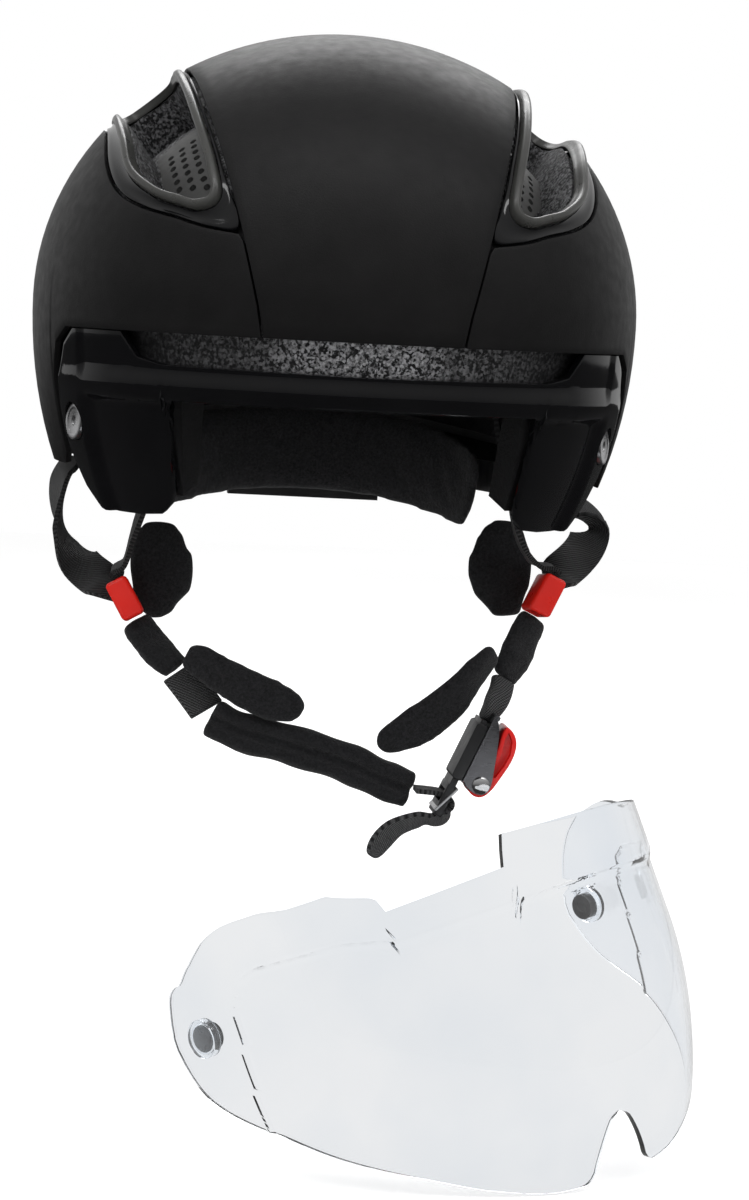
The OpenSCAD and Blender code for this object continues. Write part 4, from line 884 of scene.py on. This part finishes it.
def fasciaOff(t, z):
    # Metres off the shell's form: the lip's crown lies on it, and all else further in, the face most of all
    u = (max(z, fascia["brow"]) - fascia["brow"] - fascia["lip"] / 2) / fascia["lip"]
    bulge = -fascia["roll"] * ease(abs(u) - 0.2) * (1 if abs(t) < fascia["corner"] else 0.4)
    face = ease((fascia["brow"] + 1 - z) / 4) * ease((fascia["corner"] + 1.5 - abs(t)) / 3)
    return bulge * mm - fascia["recess"] * 0.75 * face


def fasciaPlace(u, v):
    t = browTurns[round(u * (len(browTurns) - 1))]
    z = mix(straight(fascia["low"], abs(t)), straight(fascia["top"], abs(t)), v)
    return atHeight(t, z * mm, fasciaOff(t, z))


seatSpot = atHeight(fascia["seatTurn"], fascia["seatHeight"] * mm)
seatOut = Vector((seatSpot[0] / shellForm["halfWidth"] ** 2, seatSpot[1] / shellForm["front"] ** 2, 0))
seatOut.normalize()
brow = gridPiece("frontFascia", len(browTurns) - 1, fascia["rows"], fasciaPlace)
thicken(brow, fascia["wall"], fascia["rounding"], shellMiddle, 3)
for s in (-1, 1):
    flip = Vector((s, 1, 1))
    combine(brow, rodAt("seatHole", seatSpot * flip, seatOut * flip, fascia["seatHole"], 0.02))
smooth(brow, 40)
settle(brow, "helmet", "gloss_black", "front_fascia")
for name, s in sides:
    flip = Vector((s, 1, 1))
    seat = turned("magnetSeat" + name.title(), seatSpot * flip, seatOut * flip, fascia["seat"],
                  fascia["seatRounding"])
    settle(seat, "helmet", "steel", "magnet_seat_" + name)
print("fascia done")


# Straps and pads: forms along a route, as wide as a side direction says
def routeFrame(points, f, side):
    spot = alongRoute(points, f)
    run = (alongRoute(points, min(1, f + 0.01)) - alongRoute(points, max(0, f - 0.01))).normalized()
    wide = (side - run * side.dot(run)).normalized()
    return spot, run, wide, run.cross(wide)


def routeLength(points):
    steps = [alongRoute(points, k / 60) for k in range(61)]
    return sum((b - a).length for a, b in zip(steps, steps[1:]))


def scaled(points):
    return [Vector(p) * mm for p in points]


web = {"width": 15.0, "thick": 0.0018, "rounding": 0.0005, "cols": 8}
stuffing = {"voxel": 0.0035, "pressure": 4.0, "quality": 4, "frames": 20}


def webPiece(name, points, side, width=lambda f: web["width"], rows=60, ripple=0.0):
    # Flat webbing: a sheet along the route with rounded selvedges
    points = scaled(points)

    def place(u, v):
        spot, run, wide, up = routeFrame(points, v, side(v))
        sag = ripple * math.sin(v * 23) * math.sin(u * math.pi)
        return spot + wide * ((u - 0.5) * width(v) * mm) + up * sag

    piece = gridPiece(name, web["cols"], rows, place, (width(0.5) * mm, routeLength(points)))
    thicken(piece, web["thick"], web["rounding"])
    smooth(piece, 40)
    return piece


def padPiece(name, points, side, width, thick, around=28, rows=44, waist=0.0, square=2.4, roundEnd=0.06):
    # Stuffed pad along a route; the ends close in a rounded cap
    points = scaled(points)

    def place(u, v):
        spot, run, wide, up = routeFrame(points, v, side(v))
        near = min(v, 1 - v)
        cap = 1.0
        if near < roundEnd:
            cap = math.sqrt(max(0, 1 - (1 - near / roundEnd) ** 2)) if near > 0 else 0.0
        a = 2 * math.pi * u
        c, s = math.cos(a), math.sin(a)
        reach = (abs(c) ** square + abs(s) ** square) ** (-1 / square)
        pinch = 1 - waist * math.exp(-(c / 0.3) ** 2)
        return (spot + wide * (c * reach * width(v) / 2 * mm * cap)
                + up * (s * reach * thick(v) / 2 * mm * cap * pinch))

    return closedPiece(name, around, rows, place, (0.04, routeLength(points)))


def puff(piece, swell, voxel):
    # Cloth swells the pad as stuffing does; a point may move no further than swell
    piece.data.remesh_voxel_size = voxel
    takeUp(piece)
    bpy.ops.object.voxel_remesh()
    before = [v.co.copy() for v in piece.data.vertices]
    cloth = piece.modifiers.new("Cloth", "CLOTH")
    cloth.settings.use_pressure = True
    cloth.settings.uniform_pressure_force = stuffing["pressure"]
    cloth.settings.quality = stuffing["quality"]
    cloth.settings.effector_weights.gravity = 0
    scene = bpy.context.scene
    for k in range(stuffing["frames"]):
        scene.frame_set(k + 1)
    bpy.ops.object.modifier_apply(modifier=cloth.name)
    scene.frame_set(1)
    for vertex, start in zip(piece.data.vertices, before):
        move = vertex.co - start
        if move.length > swell:
            vertex.co = start + move.normalized() * swell
    modify(piece, "SUBSURF", levels=1)
    smooth(piece, 80)


def settlePad(piece, node, swell, voxel=stuffing["voxel"]):
    # swell is how far the stuffing may push the cover out, in metres
    puff(piece, swell, voxel)
    settle(piece, "helmet", "pad_fabric", node)


dividers = {"left": {"spot": (80, -29.5, -64.5), "run": (-0.42, -0.1, -0.9)},
            "right": {"spot": (-73.5, -29.5, -72.5), "run": (0.5, -0.12, -0.86)},
            "width": 20.0, "thick": 8.5, "length": 15.0, "wall": 1.5, "body": (0.0016, 4),
            "window": (0.0009, 2), "rounding": 0.0004}


def dividerAxes(name):
    d = Vector(dividers[name]["run"]).normalized()
    x = Vector((0, 1, 0)).cross(d).normalized()
    return x, d.cross(x), d


def byDivider(name, q):
    x, y, d = dividerAxes(name)
    return Vector(dividers[name]["spot"]) + x * q[0] + y * q[1] + d * q[2]


def dividerPiece(name):
    # A moulded body with a window through it, and soft corners
    onDivider = onAxes((Vector(dividers[name]["spot"]) * mm, *dividerAxes(name)))
    w, t, l, wall = (dividers[key] * mm for key in ("width", "thick", "length", "wall"))

    def block(title, halfT, halfW, halfL, rounding, segments):
        outline = boxOutline(-halfT, halfT, -halfW, halfW)
        return plateFrom(title, outline, -halfL, halfL, rounding, onDivider, segments)

    body = block("strapDivider" + name.title(), t / 2, w / 2, l / 2, *dividers["body"])
    combine(body, block("window", t / 2 - wall, w / 2 - wall, l, *dividers["window"]))
    roundEdges(body, dividers["rounding"], 2, 60)
    smooth(body, 35)
    return body


for name, s in sides:
    settle(dividerPiece(name), "helmet", "divider_red", "strap_divider_" + name)

rearAnchor = atHeight(104, -0.024, -0.007) / mm
otherAnchor = rearAnchor * Vector((-1, 1, 1))
rearIn = dividers["width"] / 2 + 3.9
frontRoute = {"left": [(53, -68.5, 17), (54.5, -65, 6), (58, -60, -12), (64, -46, -31), (70, -35, -45),
                       (76, -31, -52.5), byDivider("left", (0.6, 0, -10)), byDivider("left", (0.6, 0, -1))],
              "right": [(-53, -68.5, 17), (-54.5, -65, 6), (-58.7, -60, -11), (-66.8, -48, -30),
                        (-71, -38, -45), (-74, -31, -58), byDivider("right", (-0.6, 0, -10)),
                        byDivider("right", (-0.6, 0, -1))]}
rearRoute = {"left": [rearAnchor + Vector((1, 0, -3.4)), rearAnchor + Vector((6, -4, -10.5)), (103, 18, -39),
                      (102, 10, -45), (97, 0, -51), (88, -13, -57), byDivider("left", (0, rearIn + 3.2, -7))],
             "right": [otherAnchor + Vector((-1, 0, -3.4)), otherAnchor + Vector((-5.5, -4, -11.4)),
                       (-98, 18, -43), (-95.5, 10, -53), (-90, 1, -62), (-82, -12, -67.5),
                       byDivider("right", (0, rearIn + 1.8, -5.4))]}
for name, s in sides:
    piece = webPiece("frontStrap" + name.title(), frontRoute[name],
                     lambda f: Vector((0.35 * s, 0.9, 0.1)).lerp(Vector((0, 1, 0)), min(1, 1.6 * f)))
    settle(piece, "helmet", "webbing", "front_strap_" + name)
    piece = webPiece("rearStrap" + name.title(), rearRoute[name],
                     lambda f: Vector((0.1 * s, 0.8, 0.3)).lerp(Vector((0.1 * s, 0.7, 0.7)), f), ripple=0.0003)
    settle(piece, "helmet", "webbing", "rear_strap_" + name)
hook = padPiece("hookWeb", [(65.6, -38.6, -95), (64.2, -42, -100), (61.2, -46.2, -105), (58.4, -48, -110)],
                lambda f: Vector((0.75, 0.62, 0.2)), lambda f: 9.6 - 2.4 * f ** 3, lambda f: 3.2, rows=30,
                square=5, roundEnd=0.08)
smooth(hook, 60)
settle(hook, "helmet", "ribbed_webbing", "hook_web")
chinWeb = webPiece("chinWeb", [(-53.4, -39.2, -97.3), (-48, -41, -103.6), (-42.5, -43.4, -110.4)],
                   lambda f: Vector((0.6, 0.6, 0.5)), rows=24)
settle(chinWeb, "helmet", "ribbed_webbing", "chin_web")
print("straps and dividers done")

# Fleece parts
earRoute = {"left": [(66, -14, -38), (65.5, -16, -48), (65, -18, -58), (67, -18, -67), (68, -19, -74)],
            "right": [(-62, -14, -44), (-61.5, -15, -54), (-60, -15.4, -64), (-61, -16.2, -73),
                      (-60, -17.4, -80)]}
lowerRoute = {"left": [(76.8, -30.9, -72.4), (73, -33, -80), (69.5, -36, -88), (65.5, -38, -95)],
              "right": [(-69.8, -30.9, -80.1), (-65, -33, -86), (-60, -36, -91.5), (-54, -39, -96.5)]}
flapRoute = {"left": [(61, -46.8, -84), (54.2, -48.8, -91.6), (45, -50, -103), (33, -51, -112.5),
                      (18.5, -52, -120)],
             "right": [(-51, -43.8, -89.5), (-38, -48.5, -97), (-24, -52, -103.5), (-8, -53, -108.5)]}
for name, s in sides:
    piece = padPiece("earPad" + name.title(), earRoute[name], lambda f: Vector((1, 0.15, 0)),
                     lambda f: 11 + 13 * sinD(180 * min(1, f * 1.15)) + 2 * f,
                     lambda f: 7 * (0.55 + 0.45 * sinD(180 * f)), roundEnd=0.12)
    settlePad(piece, "ear_pad_" + name, 0.001)
    piece = padPiece("lowerStrap" + name.title(), lowerRoute[name], lambda f: Vector((0.8, 0.5, 0.2)),
                     lambda f: 12.5 + 2 * sinD(180 * f), lambda f: 6.3 + 1.0 * sinD(720 * f), rows=40)
    settlePad(piece, "lower_strap_" + name, 0.0008, 0.0025)
    piece = padPiece("chinPad" + name.title(), flapRoute[name], lambda f: Vector((0.5, 0, 0.85)),
                     lambda f: (7.6 + 7.6 * sinD(180 * (0.12 + 0.5 * f))) * math.sqrt(min(1, 3.2 * (1.06 - f))),
                     lambda f: 4.4 + 1.5 * sinD(180 * f), roundEnd=0.1)
    settlePad(piece, "chin_pad_" + name, 0.0008, 0.0025)
sleeve = padPiece("chinSleeve", [(-41.5, -44, -112.5), (-30, -45.5, -117.5), (-12, -47, -121.5), (8, -48, -127),
                                 (22, -48, -132.5), (33, -48, -136.2)],
                  lambda f: Vector((0.35, 0, 0.93)),
                  lambda f: 15.2 * (0.9 + 0.1 * sinD(180 * f)) + 0.5 * sinD(1800 * f),
                  lambda f: 10.4 * (0.8 + 0.2 * sinD(180 * f)), around=60, rows=90, waist=0.85, roundEnd=0.03)
settlePad(sleeve, "chin_sleeve", 0.0005, 0.0016)
cavity = {"halfWidth": 0.081, "front": 0.102, "back": 0.112, "crown": 0.072, "padVoxel": 0.003}


def cavityPoint(t, e):
    rise, lean = (cavity["crown"], cosD(e)) if e > 0 else (shellForm["skirt"], 1)
    return Vector((cavity["halfWidth"] * lean * sinD(t), -depthOf(cavity, abs(t) < 90) * lean * cosD(t),
                   shellForm["waist"] + rise * sinD(e)))


def crowned(a, v):
    # The share of a pad's thickness, full in the middle and thin at the edges
    return 0.35 + 0.65 * math.sqrt(max(0, (1 - (2 * a - 1) ** 4) * (1 - (2 * v - 1) ** 4)))


def pillow(name, cols, rows, spot, gap, thick, size):
    # Two faces of a pad that meet at a rounded edge; spot(a, v, deep) lies deep inside the wall
    def place(u, v):
        side = u < 0.5
        a = u * 2 if side else (1 - u) * 2
        edge = min(1.0, 6 * min(a, 1 - a, v, 1 - v))
        lift = math.sqrt(max(0.0, 1 - (1 - edge) ** 2))
        low, high = spot(a, v, gap), spot(a, v, gap + thick * crowned(a, v))
        return low.lerp(high, 0.4).lerp(low if side else high, lift)

    return closedPiece(name, cols * 2, rows, place, size)


def wallPad(name, t0, t1, z0, z1):
    def spot(a, v, deep):
        t, z = mix(t0, t1, a), mix(z0, z1, v) * mm
        f = ease((shellForm["edge"] - z) / 0.022)
        wall = cavityPoint(t, climb(z)).lerp(atHeight(t, z, -0.017), f)
        return wall - Vector((sinD(t), -cosD(t), 0)) * deep

    return pillow(name, 26, 14, spot, 0.0015, 6.4 * mm, (0.09, 0.022))


for title, node, limits in (("browPad", "brow_pad", (-30, 30, 8, 30)),
                            ("sidePadRight", "side_pad_right", (-108, -62, 26, 48)),
                            ("sidePadLeft", "side_pad_left", (62, 108, 26, 48))):
    settlePad(wallPad(title, *limits), node, 0.0006, cavity["padVoxel"])


def crownPadSpot(a, v, deep):
    x, y = mix(-0.034, 0.034, a), mix(-0.0544, 0.0544, v)
    inside = 1 - (x / cavity["halfWidth"]) ** 2 - (y / depthOf(cavity, y < 0)) ** 2
    return Vector((x, y, shellForm["waist"] + cavity["crown"] * math.sqrt(inside) - deep))


crownPad = pillow("crownPad", 22, 30, crownPadSpot, 0.0018, 0.0065, (0.07, 0.11))
settlePad(crownPad, "crown_pad", 0.0006, cavity["padVoxel"])
napeHalf = [(-63, 56, -34), (-54, 72, -27.5), (-36, 86, -22), (-15, 93.5, -19.5)]
nape = padPiece("napePad", napeHalf + [(0, 95, -19)] + [(-x, y, z) for x, y, z in reversed(napeHalf)],
                lambda f: Vector((0, 0, 1)), lambda f: 34.4 - 5 * (2 * f - 1) ** 4,
                lambda f: 3.4 + 5 * sinD(180 * f), around=32, rows=70, roundEnd=0.05)
settlePad(nape, "nape_pad", 0.0006, cavity["padVoxel"])
print("pads done")

# Buckle: its own axes, u down the tongue, v out to the lever, w along the rivet
buckleTop = Vector((58, -48, -108)) * mm
buckleU = Vector((-0.4, 0, -0.916)).normalized()
buckleV = Vector((-buckleU[2], 0, buckleU[0]))


def inBuckle(u, v, w):
    return buckleTop + buckleU * u + buckleV * v + Vector((0, w, 0))


tailRoute = [(buckleTop + buckleU * u * mm + buckleV * v * mm) / mm for u, v in (
    (34.9, -10.8), (33.2, -6.2), (32, -2.4), (31.9, 0.6), (33.2, 2.9), (35.6, 3.4), (39, 3), (41.6, 0.4))]
tailRoute += [(36, -48, -146.8), (28, -48, -150), (23, -48, -155), (19.6, -48, -161)]


def tailSide(f):
    # The free end turns its face to the front
    return Vector((0, 1, 0)).lerp(Vector((0.62, 0.74, -0.27)), ease((f - 0.42) / 0.2))


def tailWidth(f):
    left = (1 - f) * routeLength(scaled(tailRoute)) / (6.1 * mm)
    return 12.2 * (1 if left > 1 else math.sqrt(max(0.02, 1 - (1 - left) ** 2)))


tail = webPiece("strapTail", tailRoute, tailSide, tailWidth, rows=150)
settle(tail, "tongue", "webbing", "strap_tail", finish="ribbed_webbing")

# Outlines in millimetres; a box is (u from, u to, v from, v to)
buckle = {"rivet": (22.5, 8.6), "teeth": 7, "firstTooth": 3.5, "toothPitch": 2.5, "half": 8.6, "cheekIn": 9.0,
          "cheekOut": 10.2,
          "cheek": [(-2.2, 2.0), (-0.6, 4.4), (3.0, 6.4), (10, 8.8), (19, 11.6), (23, 12.4), (25.6, 11),
                    (26.4, 8), (25.6, 4), (23.6, 2.0)],
          "lever": [(-0.8, 7.8), (0.2, 11.0), (2.4, 13.4), (6, 14.9), (11, 15.2), (17, 14.3), (22.6, 13.4),
                    (26.4, 11.6), (27.6, 8.4), (26.2, 5.2), (22.4, 4.2), (17, 6.2), (9, 8.6), (3, 7.4)],
          "pocket": [(0.9, 9.4), (3.4, 12.2), (8, 13.7), (13, 13.5), (18, 12.4), (18.6, 9.4), (10, 10.6),
                     (3.6, 9.2)],
          "slider": [(27.6, 2.3), (38.2, -1.7), (37.9, -2.6), (27.2, 1.5)],
          "head": [(0, 11.7), (1.3, 11.6), (2.4, 11.2), (3.1, 10.7), (3.3, 10.2), (2, 10.2)],
          "web": (-1.6, 24.0, 2.0, 2.9), "bar": (-2.6, -1.0, 2.2, 4.2), "liner": (2.5, 24.5, -2.5, 1.9),
          "channel": (-3, 28, -1.9, 4), "tongue": (1, 28, -1.6, 0.8), "block": (27, 39.5, -2, 1.2),
          "window": (29.5, 34.5, -6, 6), "sliderWindow": (29, 36.4, -6, 6)}


def bucklePlate(name, outline, low, high, rounding, segments=3, corner=0, steps=4):
    points = inMm(boxOutline(*outline) if isinstance(outline, tuple) else outline)
    if corner:
        points = softCorners(points, corner * mm, steps)
    return plateFrom(name, points, low * mm, high * mm, rounding * mm, inBuckle, segments)


def acrossBuckle(key, half, rounding, name=None, **settings):
    # A part of the table, as wide to each side of the buckle's middle
    return bucklePlate(name or key, buckle[key], -half, half, rounding, **settings)


rivetSpot = inBuckle(*inMm([buckle["rivet"]])[0], 0)
rivetAxis = Vector((0, 1, 0))
housing, cheek = (bucklePlate(title, buckle["cheek"], low, high, 0.25, corner=2.4, steps=5)
                  for title, low, high in (("buckleHousing", buckle["cheekIn"], buckle["cheekOut"]),
                                           ("cheek", -buckle["cheekOut"], -buckle["cheekIn"])))
for other in (cheek, acrossBuckle("web", 10.3, 0), acrossBuckle("bar", 10.0, 0.3)):
    combine(housing, other, "UNION")
combine(housing, rodAt("pivotHole", rivetSpot, rivetAxis, 2.02 * mm, 0.04))
smooth(housing, 35)
settle(housing, "helmet", "buckle_steel", "buckle_housing")
# Black liner that guides the tongue behind the steel
liner = acrossBuckle("liner", 9.7, 0.4, "buckleLiner", corner=1.5)
combine(liner, acrossBuckle("channel", 8.9, 0))
smooth(liner, 35)
settle(liner, "helmet", "nylon_black")
rivet = turned("buckleRivet", rivetSpot, rivetAxis,
               inMm([(r, -h) for r, h in buckle["head"]] + buckle["head"][::-1]))
settle(rivet, "helmet", "chrome", "buckle_rivet")
lever = acrossBuckle("lever", buckle["half"], 0.7, "releaseLever", segments=4, corner=2.6)
for s in (-1, 1):
    combine(lever, bucklePlate("pocket", buckle["pocket"], s * 7.2 - 1.6, s * 7.2 + 1.6, 0.3))
combine(lever, rodAt("leverHole", rivetSpot, rivetAxis, 2.2 * mm, 0.04))
combine(lever, rodAt("springRoom", rivetSpot, rivetAxis, 3.7 * mm, 0.009))
smooth(lever, 35)
settle(lever, "lever", "lever_red", "release_lever")
tongue = acrossBuckle("tongue", buckle["half"], 0.3, "ratchetTongue")
for k in range(buckle["teeth"]):
    root = buckle["firstTooth"] + k * buckle["toothPitch"]
    tooth = bucklePlate("tooth", [(root, 0.7), (root + 2.25, 0.7), (root + 0.1, 1.9)], -8.3, 8.3, 0)
    combine(tongue, tooth, "UNION")
combine(tongue, acrossBuckle("block", buckle["half"], 0.6), "UNION")
combine(tongue, acrossBuckle("window", 6.6, 0.2))
smooth(tongue, 35)
settle(tongue, "tongue", "nylon_black", "ratchet_tongue")
slider = acrossBuckle("slider", 9.2, 0.25, "sliderBar")
combine(slider, acrossBuckle("sliderWindow", 7.6, 0))
smooth(slider, 35)
settle(slider, "tongue", "buckle_steel", finish="steel")

coil = {"turns": 5, "radius": 2.8, "wire": 0.4, "length": 7.5}


def springPlace(u, v):
    a, q = 2 * math.pi * coil["turns"] * v, 2 * math.pi * u
    reach = coil["radius"] + coil["wire"] * math.cos(q)
    return rivetSpot + (buckleU * (reach * math.cos(a)) + buckleV * (reach * math.sin(a))
                        + Vector((0, coil["length"] * (v - 0.5) + coil["wire"] * math.sin(q), 0))) * mm


spring = gridPiece("leverSpring", 10, 200, springPlace)
inEdit(spring, lambda: bpy.ops.mesh.remove_doubles(threshold=0.00001),
       lambda: bpy.ops.mesh.select_all(action="DESELECT"),
       bpy.ops.mesh.select_non_manifold, bpy.ops.mesh.edge_face_add, pickAll, faceOut)
smooth(spring, 50)
settle(spring, "helmet", "steel", "lever_spring")
print("buckle done")

# Visor lens, in the visor's own axes: t from the nose, v over the magnets
visor = {"place": (29.6, -105, -193.9), "yaw": 42, "roll": 22.2, "pitch": 10.3, "aim": 6.2, "halfWidth": 100,
         "depth": 88, "wall": 0.002, "cols": 190, "rows": 96, "end": 98.6, "joggle": 1.5, "joggleRun": 2.2,
         "hollow": 165, "hollowFrom": -8,
         "fold": [(0, 12), (38, 12), (50, 17), (70, 19), (74, 17), (77, 8), (84, -90), (98.6, -120)],
         "lift": [(-98.6, 0), (-95, -2), (-90, -9), (-85, -7.5), (-80, -3.8), (-74, -1.2), (-68, 1), (-60, 4.2),
                  (-50, 7), (-42, 2.6), (-40.6, 1.6), (-39.6, -3.6), (-30, -3.2), (-13, -2.2), (-12, 8.4),
                  (0, 7.6), (20, 7.2), (44, 6.4), (52, 5), (60, 2), (66, 0), (98.6, 0)],
         "top": [(0, 26), (45, 26), (58, 29), (66, 34), (76, 37), (84, 35.5), (90, 31), (94, 24), (97, 14),
                 (98.6, 6)],
         "low": [(0, -65), (2.5, -66.5), (5, -71), (8, -78), (10, -83), (13, -84.5), (20, -83.5), (35, -76.5),
                 (51, -64), (66, -50), (80, -33), (90, -21), (94, -14.5), (97, -6), (98.6, 2)],
         "cup": [(0, 0), (6.6, 0), (6.6, 3), (5.2, 3), (5.2, 0.8), (0, 0.8)],
         "magnet": [(0, 0.9), (4.6, 0.9), (4.6, 5.8), (2.0, 5.8), (1.7, 5.4), (0, 5.4)]}


def rotation(degrees, axis):
    return Matrix.Rotation(math.radians(degrees), 3, axis)


visorTurn = (rotation(-visor["aim"], "Z") @ rotation(-visor["pitch"], "X")
             @ rotation(-visor["roll"], "Y") @ rotation(visor["yaw"], "Z"))
lensTop, lensLow = curveThrough(visor["top"]), curveThrough(visor["low"])


def inVisor(x, y, z):
    return visorTurn @ Vector((x, y, z)) * mm + Vector(visor["place"]) * mm


def lensPlace(u, v):
    t = mix(-visor["end"], visor["end"], u)
    h = mix(lensLow(abs(t)), lensTop(abs(t)) + straight(visor["lift"], t), v)
    k = 1 - (min(0, h - visor["hollowFrom"]) / visor["hollow"]) ** 2
    joggle = visor["joggle"] * ease((straight(visor["fold"], abs(t)) - h) / visor["joggleRun"])
    across, deep = visor["halfWidth"] * k - joggle, visor["depth"] * k - joggle
    return inVisor(across * sinD(t), -deep * cosD(t), h)


lens = gridPiece("visorLens", visor["cols"], visor["rows"], lensPlace)
thicken(lens, visor["wall"], 0.0004, Vector(visor["place"]) * mm)
smooth(lens, 40)
settle(lens, "visor", "clear_visor", "visor_lens")
for name, s in sides:
    # Heights run inwards from the lens
    foot, inward = inVisor(s * (visor["halfWidth"] - 2.5), 0, 3), visorTurn @ Vector((-s, 0, 0))
    for title, key, slot, rounding in (("visorCup", "cup", "clear_visor", 0.25),
                                       ("visorMagnet", "magnet", "magnet_black", 0.3)):
        piece = turned(title + name.title(), foot, inward, inMm(visor[key]), rounding * mm)
        settle(piece, "visor", slot, "visor_" + key + "_" + name)
print("visor done")

# CAD nodes that stay on show get their finish from the record's slots
slotOf = {part["node"]: part["material_slot"] for part in frame["record"]["subparts"]}
for name, node in frame["nodes"].items():
    if node.hide_render:
        continue
    finish = finishOf.get(slotOf.get(name), finishOf["nylon_black"])
    for k in range(len(node.material_slots)):
        node.material_slots[k].material = finish
    print("stays:", name, finish.name)

# Floor, light and white surroundings
studio = {"floor": 3.0, "floorGlow": 0.45, "floorThrough": 0.8, "white": 1.0, "ambient": 0.6, "glossLow": 0.08,
          "glossHigh": 0.45, "glossBehind": 0.6, "glossFloor": 0.04, "lensRoom": 0.6}
floor = added("paleFloor", bpy.ops.mesh.primitive_plane_add, size=studio["floor"] * 2,
              location=(0, 0, min(Vector(p).z for p in cadBounds) - 0.0005))
material, tree, shader = newMaterial("floorPaint", Roughness=0.9, Specular_IOR_Level=0.1)
rays = addNode(tree, "LightPath").outputs
# Gloss sees a dark floor, so that the black panels stay black
paint = ramp(tree, noise(tree, coordinates(tree), 3, 2), (0.3, 0.86), (0.7, 0.90))
paint = blend(tree, rays["Is Glossy Ray"], paint, (*[studio["glossFloor"]] * 3, 1), data_type="RGBA")
# Seen directly or through the clear lens it is white
seen = reckon(tree, "MULTIPLY", rays["Is Camera Ray"], studio["floorGlow"])
through = reckon(tree, "MAXIMUM", rays["Is Transmission Ray"], rays["Is Singular Ray"])
wire(tree, shader, Base_Color=paint, Emission_Color=(1, 1, 1, 1),
     Emission_Strength=reckon(tree, "MULTIPLY_ADD", through, studio["floorThrough"], seen))
floor.data.materials.append(material)

world = bpy.data.worlds.new("whiteRoom")
bpy.context.scene.world = world
world.use_nodes = True
tree = world.node_tree
rays = addNode(tree, "LightPath").outputs
# Gloss sees a room that is brighter above than at its sides, and white behind the helmet
toward = addNode(tree, "SeparateXYZ", Vector=addNode(tree, "TexCoord").outputs["Generated"]).outputs
above = spread(tree, toward["Z"], -0.3, 0.9, studio["glossLow"], studio["glossHigh"])
behind = spread(tree, toward["Y"], 0.15, 0.75, 0.0, studio["glossBehind"])
seen = blend(tree, rays["Is Glossy Ray"], studio["ambient"], reckon(tree, "MAXIMUM", above, behind))
# The clear lens alone mirrors sharply, and sees a paler room
seen = blend(tree, rays["Is Singular Ray"], seen, studio["lensRoom"])
# The camera sees plain white
direct = reckon(tree, "MAXIMUM", rays["Is Camera Ray"], rays["Is Transmission Ray"])
wire(tree, tree.nodes["Background"], Color=(1, 1, 1, 1), Strength=blend(tree, direct, seen, studio["white"]))


def addPanel(name, spot, aim, size, power, mirroredInGloss=True):
    lamp = added(name, bpy.ops.object.light_add, type="AREA", location=spot)
    lamp.data.shape = "RECTANGLE"
    lamp.data.size, lamp.data.size_y = size
    lamp.data.energy = power
    lamp.visible_glossy = lamp.visible_transmission = mirroredInGloss
    lamp.rotation_euler = (Vector(aim) - Vector(spot)).to_track_quat("-Z", "Y").to_euler()


addPanel("keyPanel", (-0.9, -1.3, 1.2), (0, 0, 0), (0.9, 0.7), 8, False)
addPanel("fillPanel", (1.3, -0.9, 0.7), (0, 0, 0), (0.6, 1.0), 5, False)
addPanel("backPanel", (0.2, 1.5, 1.1), (0, 0, 0.05), (1.2, 0.6), 8)
addPanel("stripPanel", (0, -0.45, 1.35), (0, -0.1, 0), (2.6, 0.16), 6)
print("studio set")
